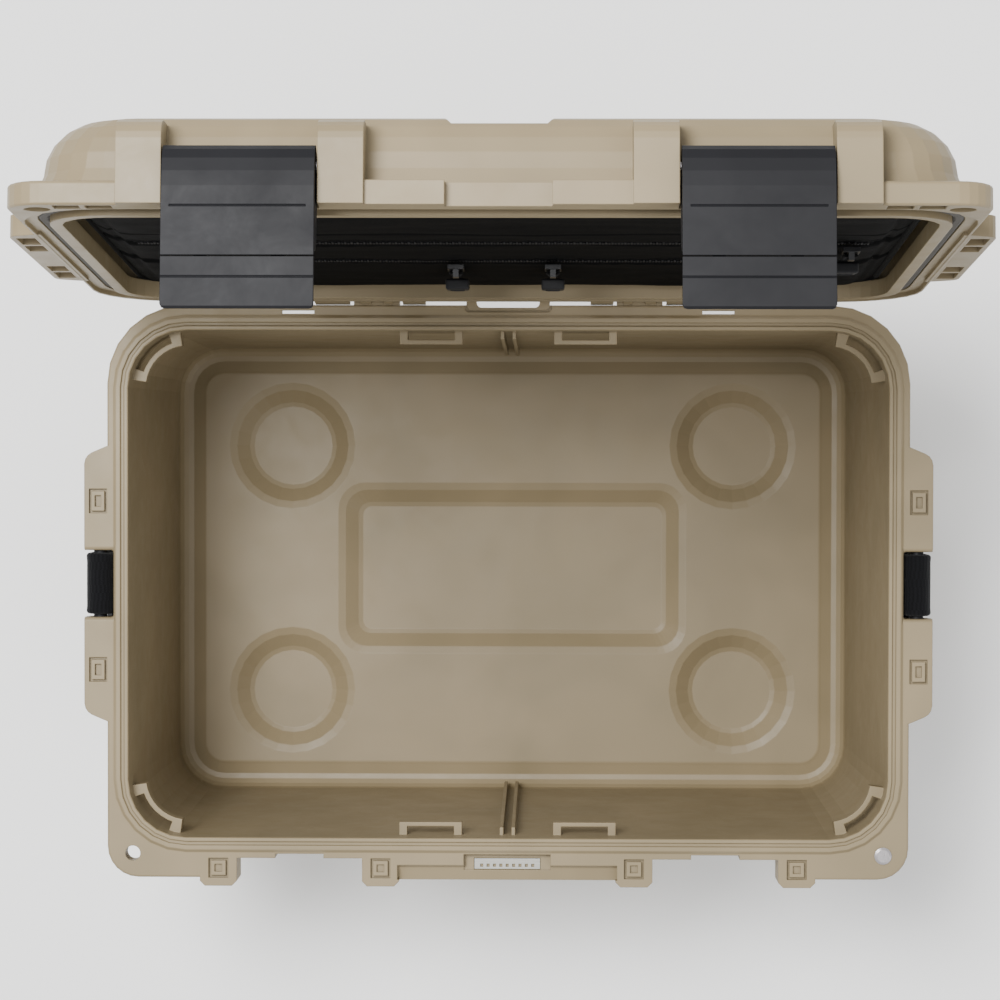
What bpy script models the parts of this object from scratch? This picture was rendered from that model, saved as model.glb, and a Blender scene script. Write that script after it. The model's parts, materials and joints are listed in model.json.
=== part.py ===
"""A moulded gear case, stored open: a tub, a hinged lid with two draw latches, and a zipped lid organiser.

Sizes are in millimetres and become metres as each mesh is made. The case is laid out shut, with y = 0 at
the middle of the tub's mouth, the front towards -Y and the ground at z = 0. The lid and all it carries are
then swung open about the hinge pins, and the whole is moved so that its box is centred over the origin.
"""

from math import cos, pi, radians, sin

import bmesh
import bpy
from mathutils import Matrix, Vector

# Overall sizes
MOUTH_WIDTH = 462.0
MOUTH_DEPTH = 309.0
RIM_HEIGHT = 243.0
LID_RISE = 47.8
LID_OPENS_BY = 95.4
ORIGIN_SHIFT = -31.9

# Clearances
GAP = 0.3
LID_SEAT_GAP = 0.4
PIN_PLAY = 0.12
LATCH_PLAY = 0.95

# Tub shell
MOUTH_RADIUS = 35.0
WALL = 4.0
WALL_DRAFT = 5.0
FLOOR_LEVEL = 18.0
FLOOR_FILLET = 9.0
FLOOR_SINK = 8.0
GUTTER_DEPTH = 2.5
GUTTER_WIDTH = 18.0
FLANGE_TOP = 3.5
FLANGE_DROP = 12.0
SKIRT = 3.0
FLANGE_SIDE = 13.0
FLANGE_FRONT = 24.7
FLANGE_REAR = 15.3
FRONT_CORNER_RADIUS = 19.0
REAR_CORNER_RADIUS = 47.5
SEAL_RIB_RISE = 2.0
SEAL_GROOVE = 1.5

# Features of the tub
EAR_REACH = 14.0
EAR_HALF = 78.0
EAR_SLOPE = 6.0
EAR_STUD = 0.4
NOTCH_HALF = 20.4
NOTCH_WALL = 4.0
HANDLE_PIN_RADIUS = 4.0
PADLOCK_HOLE_RADIUS = 4.6
PADLOCK_INSET = (15.5, 14.7)
BLOCK_WIDTH = 22.5
BLOCK_REACH = 5.1
BLOCK_DROP = 26.0
BLOCK_POCKET = 12.0
LATCH_WIDTH = 74.6
LATCH_CENTRE = 126.75
KEEPER_REACH = 12.7
KEEPER_DEPTH = 20.0
KEEPER_GAP_WIDTH = 29.5
BAR_REACH = 1.8
VENT_WIDTH = 40.0
VENT_DEPTH = 6.4
VENT_THICKNESS = 1.2
VENT_HOLE = 1.9
VENT_PITCH = 3.9
VENT_HOLES = 9
FOOT_X = 149.7
FOOT_Y = 83.3
FOOT_RIM = 41.0
FOOT_FLAT = 27.7
PAD_RADIUS = 26.0
PAD_HEIGHT = 5.7
PANEL_HALF = (116.4, 56.3)
PANEL_SLOPE = 13.4
BRACKET_HEIGHT = 10.0
BRACKET_BELOW_RIM = 12.0
BRACKET_BAR = 2.5
BRACKET_REACH = 7.6
BRACKET_NEAR = 28.0
BRACKET_FAR = 66.3
DIVIDER_RIB = 2.2
DIVIDER_GAP = 5.0
DIVIDER_REACH = 5.0

# Hinge
HINGE_BEHIND_FLANGE = 7.2
HINGE_RISE = 7.0
HINGE_PIN_RADIUS = 1.5
KNUCKLE_RADIUS = 5.2
TUB_KNUCKLES = ((70.0, 75.4), (83.1, 89.7))
LID_KNUCKLES = ((50.0, 63.8), (96.0, 117.0))
TAB_HALF = 26.5
TAB_SLOT = (19.1, 6.8)
REAR_SLOT = (117.8, 137.3)

# Lid
LID_FLANGE = 12.1
DOME_SIDE = 0.0
DOME_FRONT = 10.0
DOME_REAR = 0.5
DOME_CROWN = 27.0
DOME_DRAFT = 3.0
DOME_LEAN = 0.42
LID_WALL = 3.6
LID_CROWN_WALL = 3.4
LID_BOSS = 3.2
LID_MOUTH_INSET = 8.4
GASKET_OFFSET = -1.5
GASKET_WIDTH = 5.6
GASKET_HEIGHT = 3.3
CHANNEL_HALF = 24.0
CHANNEL_DEPTH = 3.4
SEAT_DEPTH = 2.4

# Latches, in the lid's own measures: reach from the hinge axis, height above it
LINK_PIVOT = (354.0, 13.0)
LEVER_PIVOT = (361.5, -39.0)
LATCH_FACE = 368.0
LATCH_PLATE = 3.0
LATCH_CHEEK = 4.0
LATCH_PIN_RADIUS = 2.0
LEVER_BARREL = 3.8
LEVER_PIN_RADIUS = 1.5
LEVER_ARM = (16.0, 22.0)
LEVER_HOOK = (23.0, 32.8)
LATCH_CORNER = 2.4
HOOK_TIP = 344.9
HOOK_DROP = 1.7

# Handles
STRAP_WIDTH = 38.0
STRAP_THICKNESS = 4.3
GRIP_DROP = 84.0
GRIP_LENGTH = 64.0
GRIP_RADIUS = 11.0
GRIP_INSET = 2.9

# Lid organiser
ORGANISER_INSET = 5.0
ORGANISER_FACE = -4.0
ORGANISER_EDGE = 3.0
ORGANISER_BACK = 6.0
ZIP_TAPE = (12.0, 1.4)
LOWER_ZIP = (150.0, 186.0)
UPPER_ZIP = (214.0, 198.0)
SLIDER_SIZE = (9.0, 11.0, 2.4)
BRIDGE = (3.2, 7.6, 4.2, 1.2)
PULL_CORD = 2.0
PULL_DROP = 26.0
PULL_TAB = (13.0, 20.0, 6.0)
LOWER_SLIDER_X = 27.0
UPPER_SLIDER_X = 186.0

HALF_X = MOUTH_WIDTH / 2
HALF_Y = MOUTH_DEPTH / 2
FLANGE_X = HALF_X + FLANGE_SIDE
FLANGE_FRONT_Y = -HALF_Y - FLANGE_FRONT
FLANGE_REAR_Y = HALF_Y + FLANGE_REAR
BLOCK_FRONT_Y = FLANGE_FRONT_Y - BLOCK_REACH
EAR_X = FLANGE_X + EAR_REACH
HINGE_Y = FLANGE_REAR_Y + HINGE_BEHIND_FLANGE
HINGE_Z = RIM_HEIGHT + HINGE_RISE
SEAT_Z = RIM_HEIGHT + LID_SEAT_GAP
LID_TOP_Z = SEAT_Z + LID_RISE
BAY_HALF = LATCH_WIDTH / 2 + LATCH_PLAY
BLOCKS = (LATCH_CENTRE - BAY_HALF - BLOCK_WIDTH, LATCH_CENTRE + BAY_HALF)
BAR_HALF = BLOCKS[0] + 1.0
KEEPER_FRONT_Y = -HALF_Y - KEEPER_REACH
STRAP_OUTER = HANDLE_PIN_RADIUS + GAP + STRAP_THICKNESS
HANDLE_PIN = (EAR_X - STRAP_OUTER, RIM_HEIGHT - 0.4 - STRAP_OUTER)
ARC_STEPS = 6
ROUND_STEPS = 24
FOOT_STEPS = 24

TAN = (0.55, 0.48, 0.33)
CHARCOAL = (0.07, 0.07, 0.075)
BLACK = (0.012, 0.012, 0.013)
GREY = (0.10, 0.095, 0.09)
STEEL = (0.55, 0.53, 0.52)


def clear_scene():
    for thing in list(bpy.data.objects):
        bpy.data.objects.remove(thing, do_unlink=True)


def material(name, colour, roughness, metallic=0.0):
    made = bpy.data.materials.get(name)
    if made is None:
        made = bpy.data.materials.new(name)
        made.use_nodes = True
        shader = made.node_tree.nodes["Principled BSDF"]
        shader.inputs["Base Color"].default_value = (*colour, 1.0)
        shader.inputs["Roughness"].default_value = roughness
        shader.inputs["Metallic"].default_value = metallic
    return made


def solid(name, bm):
    """An object from a bmesh in millimetres."""
    bmesh.ops.scale(bm, vec=(0.001, 0.001, 0.001), verts=bm.verts)
    bmesh.ops.recalc_face_normals(bm, faces=bm.faces)
    mesh = bpy.data.meshes.new(name)
    bm.to_mesh(mesh)
    bm.free()
    made = bpy.data.objects.new(name, mesh)
    bpy.context.scene.collection.objects.link(made)
    return made


def prism(outline, low, high, along="Z"):
    """A straight extrusion of an outline, given in the two other axes in X, Y, Z order."""
    place = {
        "X": lambda a, b, c: (c, a, b),
        "Y": lambda a, b, c: (a, c, b),
        "Z": lambda a, b, c: (a, b, c),
    }[along]
    bm = bmesh.new()
    face = bm.faces.new([bm.verts.new(place(a, b, low)) for a, b in outline])
    grown = bmesh.ops.extrude_face_region(bm, geom=[face])
    top = [v for v in grown["geom"] if isinstance(v, bmesh.types.BMVert)]
    bmesh.ops.translate(bm, vec=place(0.0, 0.0, high - low), verts=top)
    return solid("prism", bm)


def box(x0, x1, y0, y1, z0, z1):
    return prism(((x0, y0), (x1, y0), (x1, y1), (x0, y1)), z0, z1)


def circle(radius, centre=(0.0, 0.0), steps=ROUND_STEPS):
    return [
        (centre[0] + radius * cos(2 * pi * k / steps), centre[1] + radius * sin(2 * pi * k / steps))
        for k in range(steps)
    ]


def arc(centre, radius, start, end, steps):
    turns = [radians(start + (end - start) * k / steps) for k in range(steps + 1)]
    return [(centre[0] + radius * cos(t), centre[1] + radius * sin(t)) for t in turns]


def rounded(half_x, front, rear, front_radius, rear_radius=None):
    """The outline of a rounded rectangle, with its own radius at the front and rear corners."""
    rear_radius = front_radius if rear_radius is None else rear_radius
    corners = (
        (half_x, rear, -1, -1, rear_radius, 0),
        (-half_x, rear, 1, -1, rear_radius, 90),
        (-half_x, front, 1, 1, front_radius, 180),
        (half_x, front, -1, 1, front_radius, 270),
    )
    points = []
    for x, y, inward_x, inward_y, radius, start in corners:
        centre = (x + inward_x * radius, y + inward_y * radius)
        points += arc(centre, radius, start, start + 90, ARC_STEPS)
    return points


def mouth_ring(offset, z):
    """A ring round the tub's mouth, moved outwards by an offset."""
    radius = max(MOUTH_RADIUS + offset, 4.0)
    return rounded(HALF_X + offset, -HALF_Y - offset, HALF_Y + offset, radius), z


def flange_ring(inset, z):
    outline = rounded(
        FLANGE_X - inset,
        FLANGE_FRONT_Y + inset,
        FLANGE_REAR_Y - inset,
        FRONT_CORNER_RADIUS - inset,
        REAR_CORNER_RADIUS - inset,
    )
    return outline, z


def loft(rings):
    """A closed solid through rings of equal point counts, capped at both ends."""
    bm = bmesh.new()
    loops = [[bm.verts.new((x, y, z)) for x, y in outline] for outline, z in rings]
    for low, high in zip(loops, loops[1:]):
        for k in range(len(low)):
            n = (k + 1) % len(low)
            bm.faces.new((low[k], low[n], high[n], high[k]))
    bm.faces.new(list(reversed(loops[0])))
    bm.faces.new(loops[-1])
    return solid("loft", bm)


def ring_solid(rings):
    """A closed ring through its section's outlines, whose last joins its first."""
    bm = bmesh.new()
    loops = [[bm.verts.new((x, y, z)) for x, y in outline] for outline, z in rings]
    for low, high in zip(loops, loops[1:] + loops[:1]):
        for k in range(len(low)):
            n = (k + 1) % len(low)
            bm.faces.new((low[k], low[n], high[n], high[k]))
    return solid("ring", bm)


def frustum(centre, low_radius, low, high_radius, high, steps=ROUND_STEPS):
    return loft([(circle(low_radius, centre, steps), low), (circle(high_radius, centre, steps), high)])


def combine(body, tool, operation):
    """Apply one exact Boolean and drop the tool."""
    step = body.modifiers.new("combine", "BOOLEAN")
    step.object = tool
    step.operation = operation
    step.solver = "EXACT"
    evaluated = body.evaluated_get(bpy.context.evaluated_depsgraph_get())
    mesh = bpy.data.meshes.new_from_object(evaluated)
    body.modifiers.clear()
    body.data = mesh
    bpy.data.objects.remove(tool, do_unlink=True)


def add(body, *tools):
    for tool in tools:
        combine(body, tool, "UNION")


def cut(body, *tools):
    for tool in tools:
        combine(body, tool, "DIFFERENCE")


def span(side, near, far):
    """An X range on one side, lowest first."""
    return tuple(sorted((side * near, side * far)))


def shape_done(made, name, finish):
    made.name = name
    made.data.name = name
    made.data.materials.clear()
    made.data.materials.append(finish)
    bm = bmesh.new()
    bm.from_mesh(made.data)
    bmesh.ops.dissolve_limit(bm, angle_limit=radians(0.05), verts=bm.verts, edges=bm.edges)
    bmesh.ops.triangulate(bm, faces=bm.faces)
    bm.to_mesh(made.data)
    bm.free()
    made.data.shade_smooth()
    made.data.set_sharp_from_angle(angle=radians(32))
    return made


def lid_swing():
    """The turn about the hinge pins that opens the lid."""
    axis = Vector((0.0, HINGE_Y / 1000, HINGE_Z / 1000))
    turn = Matrix.Rotation(radians(-LID_OPENS_BY), 4, "X")
    return Matrix.Translation(axis) @ turn @ Matrix.Translation(-axis)


def open_with_lid(*pieces):
    swing = lid_swing()
    for piece in pieces:
        piece.data.transform(swing)


def set_origin(piece, x, y, z, with_lid=False):
    """Put a moving piece's origin on its joint's axis."""
    point = Vector((x, y, z)) / 1000
    if with_lid:
        point = lid_swing() @ point
    piece.data.transform(Matrix.Translation(-point))
    piece.location = point
    return point


def lid_point(reach, height):
    """The shut y and z of a point given by its reach from the hinge axis and height above it."""
    return HINGE_Y - reach, HINGE_Z + height


def lid_outline(points):
    return [lid_point(reach, height) for reach, height in points]


def wall_offset(z):
    """How far the tub's inner wall stands in from the mouth at a height."""
    return -WALL_DRAFT * (RIM_HEIGHT - z) / (RIM_HEIGHT - FLOOR_LEVEL)


def tub_shell():
    """One skin from the underside, out under the flange, over the rim and down to the floor.

    The floor is a low plateau inside a shallow gutter that runs round the foot of the walls.
    """
    low = FLOOR_LEVEL - GUTTER_DEPTH + FLOOR_FILLET
    foot = wall_offset(low)
    bend = foot - FLOOR_FILLET
    root = RIM_HEIGHT - FLANGE_TOP
    lift = RIM_HEIGHT + SEAL_RIB_RISE
    thick = FLOOR_FILLET + WALL
    turns = [radians(22.5 * k) for k in range(5)]
    rings = [mouth_ring(foot - GUTTER_WIDTH, FLOOR_LEVEL - WALL)]
    rings += [mouth_ring(bend + thick * cos(t), low - thick * sin(t)) for t in reversed(turns)]
    rings += [
        mouth_ring(wall_offset(root) + WALL, root),
        flange_ring(SKIRT, root),
        flange_ring(SKIRT, RIM_HEIGHT - FLANGE_DROP),
        flange_ring(0.0, RIM_HEIGHT - FLANGE_DROP),
        flange_ring(0.0, RIM_HEIGHT - 1.2),
        flange_ring(0.35, RIM_HEIGHT - 0.35),
        flange_ring(1.2, RIM_HEIGHT),
        mouth_ring(9.2, RIM_HEIGHT),
        mouth_ring(7.4, lift),
        mouth_ring(4.9, lift),
        mouth_ring(4.4, lift - SEAL_GROOVE),
        mouth_ring(2.8, lift - SEAL_GROOVE),
        mouth_ring(2.3, lift),
        mouth_ring(0.6, lift),
        mouth_ring(0.0, lift - 0.6),
    ]
    rings += [mouth_ring(bend + FLOOR_FILLET * cos(t), low - FLOOR_FILLET * sin(t)) for t in turns]
    rings += [
        mouth_ring(foot - GUTTER_WIDTH + 2.2, FLOOR_LEVEL - 0.6),
        mouth_ring(foot - GUTTER_WIDTH + 1.0, FLOOR_LEVEL - 0.15),
        mouth_ring(foot - GUTTER_WIDTH, FLOOR_LEVEL),
    ]
    return loft(rings)


def sunk_floor(tub):
    """Four round foot recesses and a middle panel, sunk inside and standing proud below."""
    under = FLOOR_LEVEL - WALL
    slope = (FOOT_RIM - FOOT_FLAT) / FLOOR_SINK
    base = FOOT_FLAT + 2.0
    dish = [
        (FOOT_FLAT - 1.0, -FLOOR_SINK),
        (FOOT_FLAT + 2.0, -FLOOR_SINK + 1.0),
        (FOOT_RIM - 3.0, -1.4),
        (FOOT_RIM + 3.0, 0.3),
        (FOOT_RIM + 3.0, 6.0),
    ]
    for x in (-FOOT_X, FOOT_X):
        for y in (-FOOT_Y, FOOT_Y):
            top = base + slope * (WALL + FLOOR_SINK)
            add(tub, frustum((x, y), base, under - FLOOR_SINK, top, under + WALL - 0.5, FOOT_STEPS))
            cut(tub, loft([(circle(r, (x, y), FOOT_STEPS), FLOOR_LEVEL + z) for r, z in dish]))

    def panel(extra, radius, z):
        return rounded(PANEL_HALF[0] + extra, -PANEL_HALF[1] - extra, PANEL_HALF[1] + extra, radius), z

    add(tub, loft([panel(3.0 - PANEL_SLOPE, 9.0, under - FLOOR_SINK), panel(3.0, 18.0, under + 1.0)]))
    tray = [
        (-PANEL_SLOPE - 1.0, 6.0, -FLOOR_SINK),
        (-PANEL_SLOPE + 2.0, 8.5, -FLOOR_SINK + 1.0),
        (-3.0, 14.5, -1.4),
        (3.0, 19.0, 0.3),
        (3.0, 19.0, 2.0),
    ]
    cut(tub, loft([panel(extra, radius, FLOOR_LEVEL + z) for extra, radius, z in tray]))


def ear_outline(inset, inner):
    """Half of a side flange, its outer corners rounded; inner is where it ends inside the tub's flange."""
    edge = EAR_X - inset
    half = EAR_HALF - inset
    base = EAR_HALF + EAR_SLOPE - inset
    return [
        (inner, -base),
        (FLANGE_X, -base),
        (edge - 4.6, -half - 2.0),
        (edge - 2.3, -half - 0.4),
        (edge - 0.7, -half + 1.9),
        (edge, -half + 5.0),
        (edge, half - 5.0),
        (edge - 0.7, half - 1.9),
        (edge - 2.3, half + 0.4),
        (edge - 4.6, half + 2.0),
        (FLANGE_X, base),
        (inner, base),
    ]


def notch_outline(side, near, grow):
    """The handle notch in the ear's edge, with rounded inner corners, open to the outside."""
    half = NOTCH_HALF + grow
    near = near - grow
    far = EAR_X + 4.0
    corner = 1.2
    points = [(far, -half), (near + corner, -half), (near + 0.35, -half + 0.35), (near, -half + corner)]
    return mirrored(points + [(x, -y) for x, y in reversed(points)], side)


def mirrored(outline, side):
    points = [(side * x, y) for x, y in outline]
    return points if side > 0 else list(reversed(points))


def ears(tub):
    """The side flanges, each with a handle notch, two shallow pockets and cheeks that hold the pin."""
    pin_x, pin_z = HANDLE_PIN
    bottom = RIM_HEIGHT - FLANGE_DROP
    root = RIM_HEIGHT - FLANGE_TOP
    notch_x = pin_x - STRAP_OUTER - GAP
    for side in (-1, 1):
        ear = prism(mirrored(ear_outline(0.0, FLANGE_X - 1.5), side), bottom, RIM_HEIGHT)
        cut(ear, prism(mirrored(ear_outline(SKIRT, FLANGE_X - 0.3), side), bottom - 1.0, root))
        add(tub, ear)
        for y in (-1, 1):
            y0, y1 = span(y, NOTCH_HALF, NOTCH_HALF + NOTCH_WALL)
            x0, x1 = span(side, FLANGE_X - 2.0, EAR_X - 1.0)
            add(tub, box(x0, x1, y0, y1, pin_z - HANDLE_PIN_RADIUS - 3.0, root + 1.0))
        cut(tub, prism(notch_outline(side, notch_x, 0.0), bottom - 4.0, RIM_HEIGHT + 1.0))
        rings = ((0.0, -2.2), (0.5, -1.0), (1.3, -0.3), (3.1, 0.4))
        cut(tub, loft([(notch_outline(side, notch_x, grow), RIM_HEIGHT + z) for grow, z in rings]))
        reach = NOTCH_HALF + NOTCH_WALL + 1.0
        hole = circle(HANDLE_PIN_RADIUS + GAP, (side * pin_x, pin_z), 16)
        cut(tub, prism(hole, -reach, reach, "Y"))
        x0, x1 = span(side, FLANGE_X + 1.6, EAR_X - 4.4)
        for y0, y1 in ((-58.4, -46.4), (44.4, 56.4)):
            cut(tub, box(x0 - 1.4, x1 + 1.4, y0 - 1.4, y1 + 1.4, RIM_HEIGHT - 2.4, RIM_HEIGHT + 1.0))
            add(tub, box(x0, x1, y0, y1, RIM_HEIGHT - 3.0, RIM_HEIGHT + EAR_STUD))
            middle = (x0 + x1) / 2
            slot = (middle - 1.9, middle + 1.9, y0 + 2.6, y1 - 2.6)
            cut(tub, box(*slot, RIM_HEIGHT - 2.0, RIM_HEIGHT + 2.0))


def block(side, near, bottom, top, front, back):
    """A block on the front flange, its front corners cut off at an angle."""
    slope = 3.0
    outline = [
        (near, back),
        (near, front + slope),
        (near + slope, front),
        (near + BLOCK_WIDTH - slope, front),
        (near + BLOCK_WIDTH, front + slope),
        (near + BLOCK_WIDTH, back),
    ]
    return prism(mirrored(outline, side), bottom, top)


def tub_front(tub):
    """Latch bays with keepers between four blocks, and the middle bar with its vent seat."""
    wall_y = -HALF_Y - 1.0
    for side in (-1, 1):
        x0, x1 = span(side, BLOCKS[0] + BLOCK_WIDTH, BLOCKS[1])
        cut(tub, box(x0, x1, FLANGE_FRONT_Y - 2.0, KEEPER_FRONT_Y, RIM_HEIGHT - 24.0, RIM_HEIGHT + 2.0))
        keeper_top = RIM_HEIGHT - 2.0
        add(tub, box(x0 - 1.0, x1 + 1.0, KEEPER_FRONT_Y, wall_y, keeper_top - KEEPER_DEPTH, keeper_top))
        middle = side * LATCH_CENTRE
        half = KEEPER_GAP_WIDTH / 2
        low = RIM_HEIGHT - 3.0 - KEEPER_DEPTH
        y0, y1 = KEEPER_FRONT_Y - 1.0, KEEPER_FRONT_Y + 2.6
        cut(tub, box(middle - half, middle + half, y0, y1, low, RIM_HEIGHT + 0.5))
        for near in BLOCKS:
            add(tub, block(side, near, RIM_HEIGHT - BLOCK_DROP, RIM_HEIGHT, BLOCK_FRONT_Y, wall_y))
            centre = side * (near + BLOCK_WIDTH / 2)
            half = BLOCK_POCKET / 2
            front = BLOCK_FRONT_Y + 5.0
            rear = front + BLOCK_POCKET
            cut(tub, box(centre - half, centre + half, front, rear, RIM_HEIGHT - 2.6, RIM_HEIGHT + 1.0))
            half -= 1.5
            stud = box(centre - half, centre + half, front + 1.5, rear - 1.5, RIM_HEIGHT - 3.0, RIM_HEIGHT)
            half -= 2.2
            well = (front + 3.7, rear - 3.7, RIM_HEIGHT - 2.0, RIM_HEIGHT + 1.0)
            cut(stud, box(centre - half, centre + half, *well))
            add(tub, stud)
    bar_front = FLANGE_FRONT_Y - BAR_REACH
    bar = [
        (wall_y, RIM_HEIGHT - 15.0),
        (bar_front, RIM_HEIGHT - 15.0),
        (bar_front, RIM_HEIGHT - 7.5),
        (bar_front + 8.2, RIM_HEIGHT - 4.5),
        (bar_front + 9.8, RIM_HEIGHT),
        (wall_y, RIM_HEIGHT),
    ]
    y0, y1 = FLANGE_FRONT_Y - 1.0, bar_front + 9.8
    cut(tub, box(-BAR_HALF, BAR_HALF, y0, y1, RIM_HEIGHT - 20.0, RIM_HEIGHT + 1.0))
    add(tub, prism(bar, -BAR_HALF, BAR_HALF, "X"))
    seat_back = -HALF_Y - 10.0
    seat_front = seat_back - VENT_DEPTH - 3.8
    cut(tub, box(-TAB_HALF, TAB_HALF, seat_front, seat_back, RIM_HEIGHT - 6.0, RIM_HEIGHT + 1.0))
    vent_half = VENT_WIDTH / 2 + GAP
    vent_back = seat_back - 3.2 + GAP
    vent_front = vent_back - VENT_DEPTH - 2 * GAP
    cut(tub, box(-vent_half, vent_half, vent_front, vent_back, RIM_HEIGHT - 7.5, RIM_HEIGHT - 5.0))
    return (vent_front + vent_back) / 2


def corner_holes(tub):
    x, y = FLANGE_X - PADLOCK_INSET[0], FLANGE_FRONT_Y + PADLOCK_INSET[1]
    for side in (-1, 1):
        boss = circle(PADLOCK_HOLE_RADIUS + 3.0, (side * x, y))
        add(tub, prism(boss, RIM_HEIGHT - FLANGE_DROP, RIM_HEIGHT - 1.0))
        hole = circle(PADLOCK_HOLE_RADIUS, (side * x, y))
        cut(tub, prism(hole, RIM_HEIGHT - FLANGE_DROP - 1.0, RIM_HEIGHT + 1.0))
    return x, y


def tub_rear(tub):
    """Hinge knuckles on their bases, the slotted middle tab and two small slots."""
    root = RIM_HEIGHT - FLANGE_TOP
    for side in (-1, 1):
        x0, x1 = span(side, TUB_KNUCKLES[0][0] - 4.0, TUB_KNUCKLES[1][1] + 4.0)
        add(tub, box(x0, x1, FLANGE_REAR_Y - 2.0, HINGE_Y - 3.0, RIM_HEIGHT - FLANGE_DROP, RIM_HEIGHT - 0.8))
        for near, far in TUB_KNUCKLES:
            x0, x1 = span(side, near, far)
            neck = [
                (FLANGE_REAR_Y + 0.6, RIM_HEIGHT - 6.0),
                (HINGE_Y + 3.0, RIM_HEIGHT - 6.0),
                (HINGE_Y + KNUCKLE_RADIUS * 0.96, HINGE_Z - 1.0),
                (HINGE_Y - KNUCKLE_RADIUS * 0.96, HINGE_Z - 1.0),
                (FLANGE_REAR_Y + 0.6, RIM_HEIGHT - 0.2),
            ]
            knuckle = prism(neck, x0, x1, "X")
            add(knuckle, prism(circle(KNUCKLE_RADIUS, (HINGE_Y, HINGE_Z)), x0, x1, "X"))
            add(tub, knuckle)
            bore = circle(HINGE_PIN_RADIUS + PIN_PLAY, (HINGE_Y, HINGE_Z))
            cut(tub, prism(bore, x0 - 1.0, x1 + 1.0, "X"))
        x0, x1 = span(side, *REAR_SLOT)
        cut(tub, box(x0, x1, FLANGE_REAR_Y - 5.3, FLANGE_REAR_Y - 3.2, root - 1.0, RIM_HEIGHT + 1.0))
    slot_x, slot_y = TAB_SLOT
    tab = rounded(TAB_HALF, FLANGE_REAR_Y - 4.3, FLANGE_REAR_Y + 11.2, 3.0)
    cut(tub, prism(tab, RIM_HEIGHT - 1.2, RIM_HEIGHT + 1.0))
    tab = rounded(TAB_HALF - 1.2, FLANGE_REAR_Y - 3.0, FLANGE_REAR_Y + 10.0, 3.0)
    add(tub, prism(tab, root - 3.5, RIM_HEIGHT - 0.6))
    middle = FLANGE_REAR_Y + 1.9
    slot = rounded(slot_x, middle - slot_y / 2, middle + slot_y / 2, 3.0)
    cut(tub, prism(slot, root - 10.0, RIM_HEIGHT + 1.0))


def tray_brackets(tub):
    """Brackets for a lift-out tray: straight ones front and rear, curved ones in the corners."""
    top = RIM_HEIGHT - BRACKET_BELOW_RIM
    low = top - BRACKET_HEIGHT
    wall_y = HALF_Y + wall_offset(low)
    bar_y = wall_y - BRACKET_REACH
    for side in (-1, 1):
        for end in (-1, 1):
            x0, x1 = span(side, BRACKET_NEAR, BRACKET_FAR)
            y0, y1 = span(end, bar_y, bar_y + BRACKET_BAR)
            bracket = box(x0, x1, y0, y1, low, top)
            y0, y1 = span(end, bar_y + BRACKET_BAR / 2, wall_y + 2.0)
            leg = 4.8
            add(bracket, box(x0, x0 + leg, y0, y1, low, top), box(x1 - leg, x1, y0, y1, low, top))
            add(tub, bracket)
            centre = (side * (HALF_X - MOUTH_RADIUS), end * (HALF_Y - MOUTH_RADIUS))
            start = {(1, 1): 0, (-1, 1): 90, (-1, -1): 180, (1, -1): 270}[(side, end)]
            outer = MOUTH_RADIUS + 1.5
            inner = MOUTH_RADIUS - 9.0

            def band(r0, r1, a0, a1, steps):
                rim = arc(centre, r1, start + a0, start + a1, steps)
                return prism(rim + list(reversed(arc(centre, r0, start + a0, start + a1, steps))), low, top)

            curved = band(inner, inner + BRACKET_BAR + 0.5, 8, 82, 8)
            add(curved, band(inner + 1.0, outer, 8, 20, 2), band(inner + 1.0, outer, 70, 82, 2))
            add(tub, curved)


def divider_ribs(tub):
    """Two pairs of upright ribs that hold a divider, on the middles of the front and rear walls."""
    top = RIM_HEIGHT - BRACKET_BELOW_RIM
    for end in (-1, 1):
        for side in (-1, 1):
            x0, x1 = span(side, DIVIDER_GAP / 2, DIVIDER_GAP / 2 + DIVIDER_RIB)
            rib_low = FLOOR_LEVEL + 7.0
            foot_y = HALF_Y + wall_offset(rib_low)
            outline = [
                (end * (HALF_Y + 1.5), top),
                (end * (HALF_Y - DIVIDER_REACH), top),
                (end * (foot_y - DIVIDER_REACH), rib_low),
                (end * (foot_y + 1.5), rib_low),
            ]
            add(tub, prism(outline, x0, x1, "X"))


def make_tub(finish):
    tub = tub_shell()
    sunk_floor(tub)
    ears(tub)
    vent_y = tub_front(tub)
    hole = corner_holes(tub)
    tub_rear(tub)
    tray_brackets(tub)
    divider_ribs(tub)
    shape_done(tub, "tub", finish)
    return vent_y, hole


def foot_pads(finish):
    for name, x, y in (
        ("foot_pad_front_left", -1, -1),
        ("foot_pad_front_right", 1, -1),
        ("foot_pad_rear_left", -1, 1),
        ("foot_pad_rear_right", 1, 1),
    ):
        centre = (x * FOOT_X, y * FOOT_Y)
        pad = loft(
            [
                (circle(PAD_RADIUS - 1.0, centre), 0.0),
                (circle(PAD_RADIUS, centre), 1.0),
                (circle(PAD_RADIUS, centre), PAD_HEIGHT),
            ]
        )
        shape_done(pad, name, finish)


def vent_plate(middle, finish):
    """A pressed plate with a row of square holes, seated in the front bar."""
    low = RIM_HEIGHT - 7.5 + GAP
    y0, y1 = middle - VENT_DEPTH / 2, middle + VENT_DEPTH / 2
    plate = box(-VENT_WIDTH / 2, VENT_WIDTH / 2, y0, y1, low, low + VENT_THICKNESS)
    first = -VENT_PITCH * (VENT_HOLES - 1) / 2
    for k in range(VENT_HOLES):
        x = first + k * VENT_PITCH
        half = VENT_HOLE / 2
        y = middle - 1.0
        cut(plate, box(x - half, x + half, y - half, y + half, low - 1.0, low + VENT_THICKNESS + 1.0))
    shape_done(plate, "vent_plate", finish)


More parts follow.
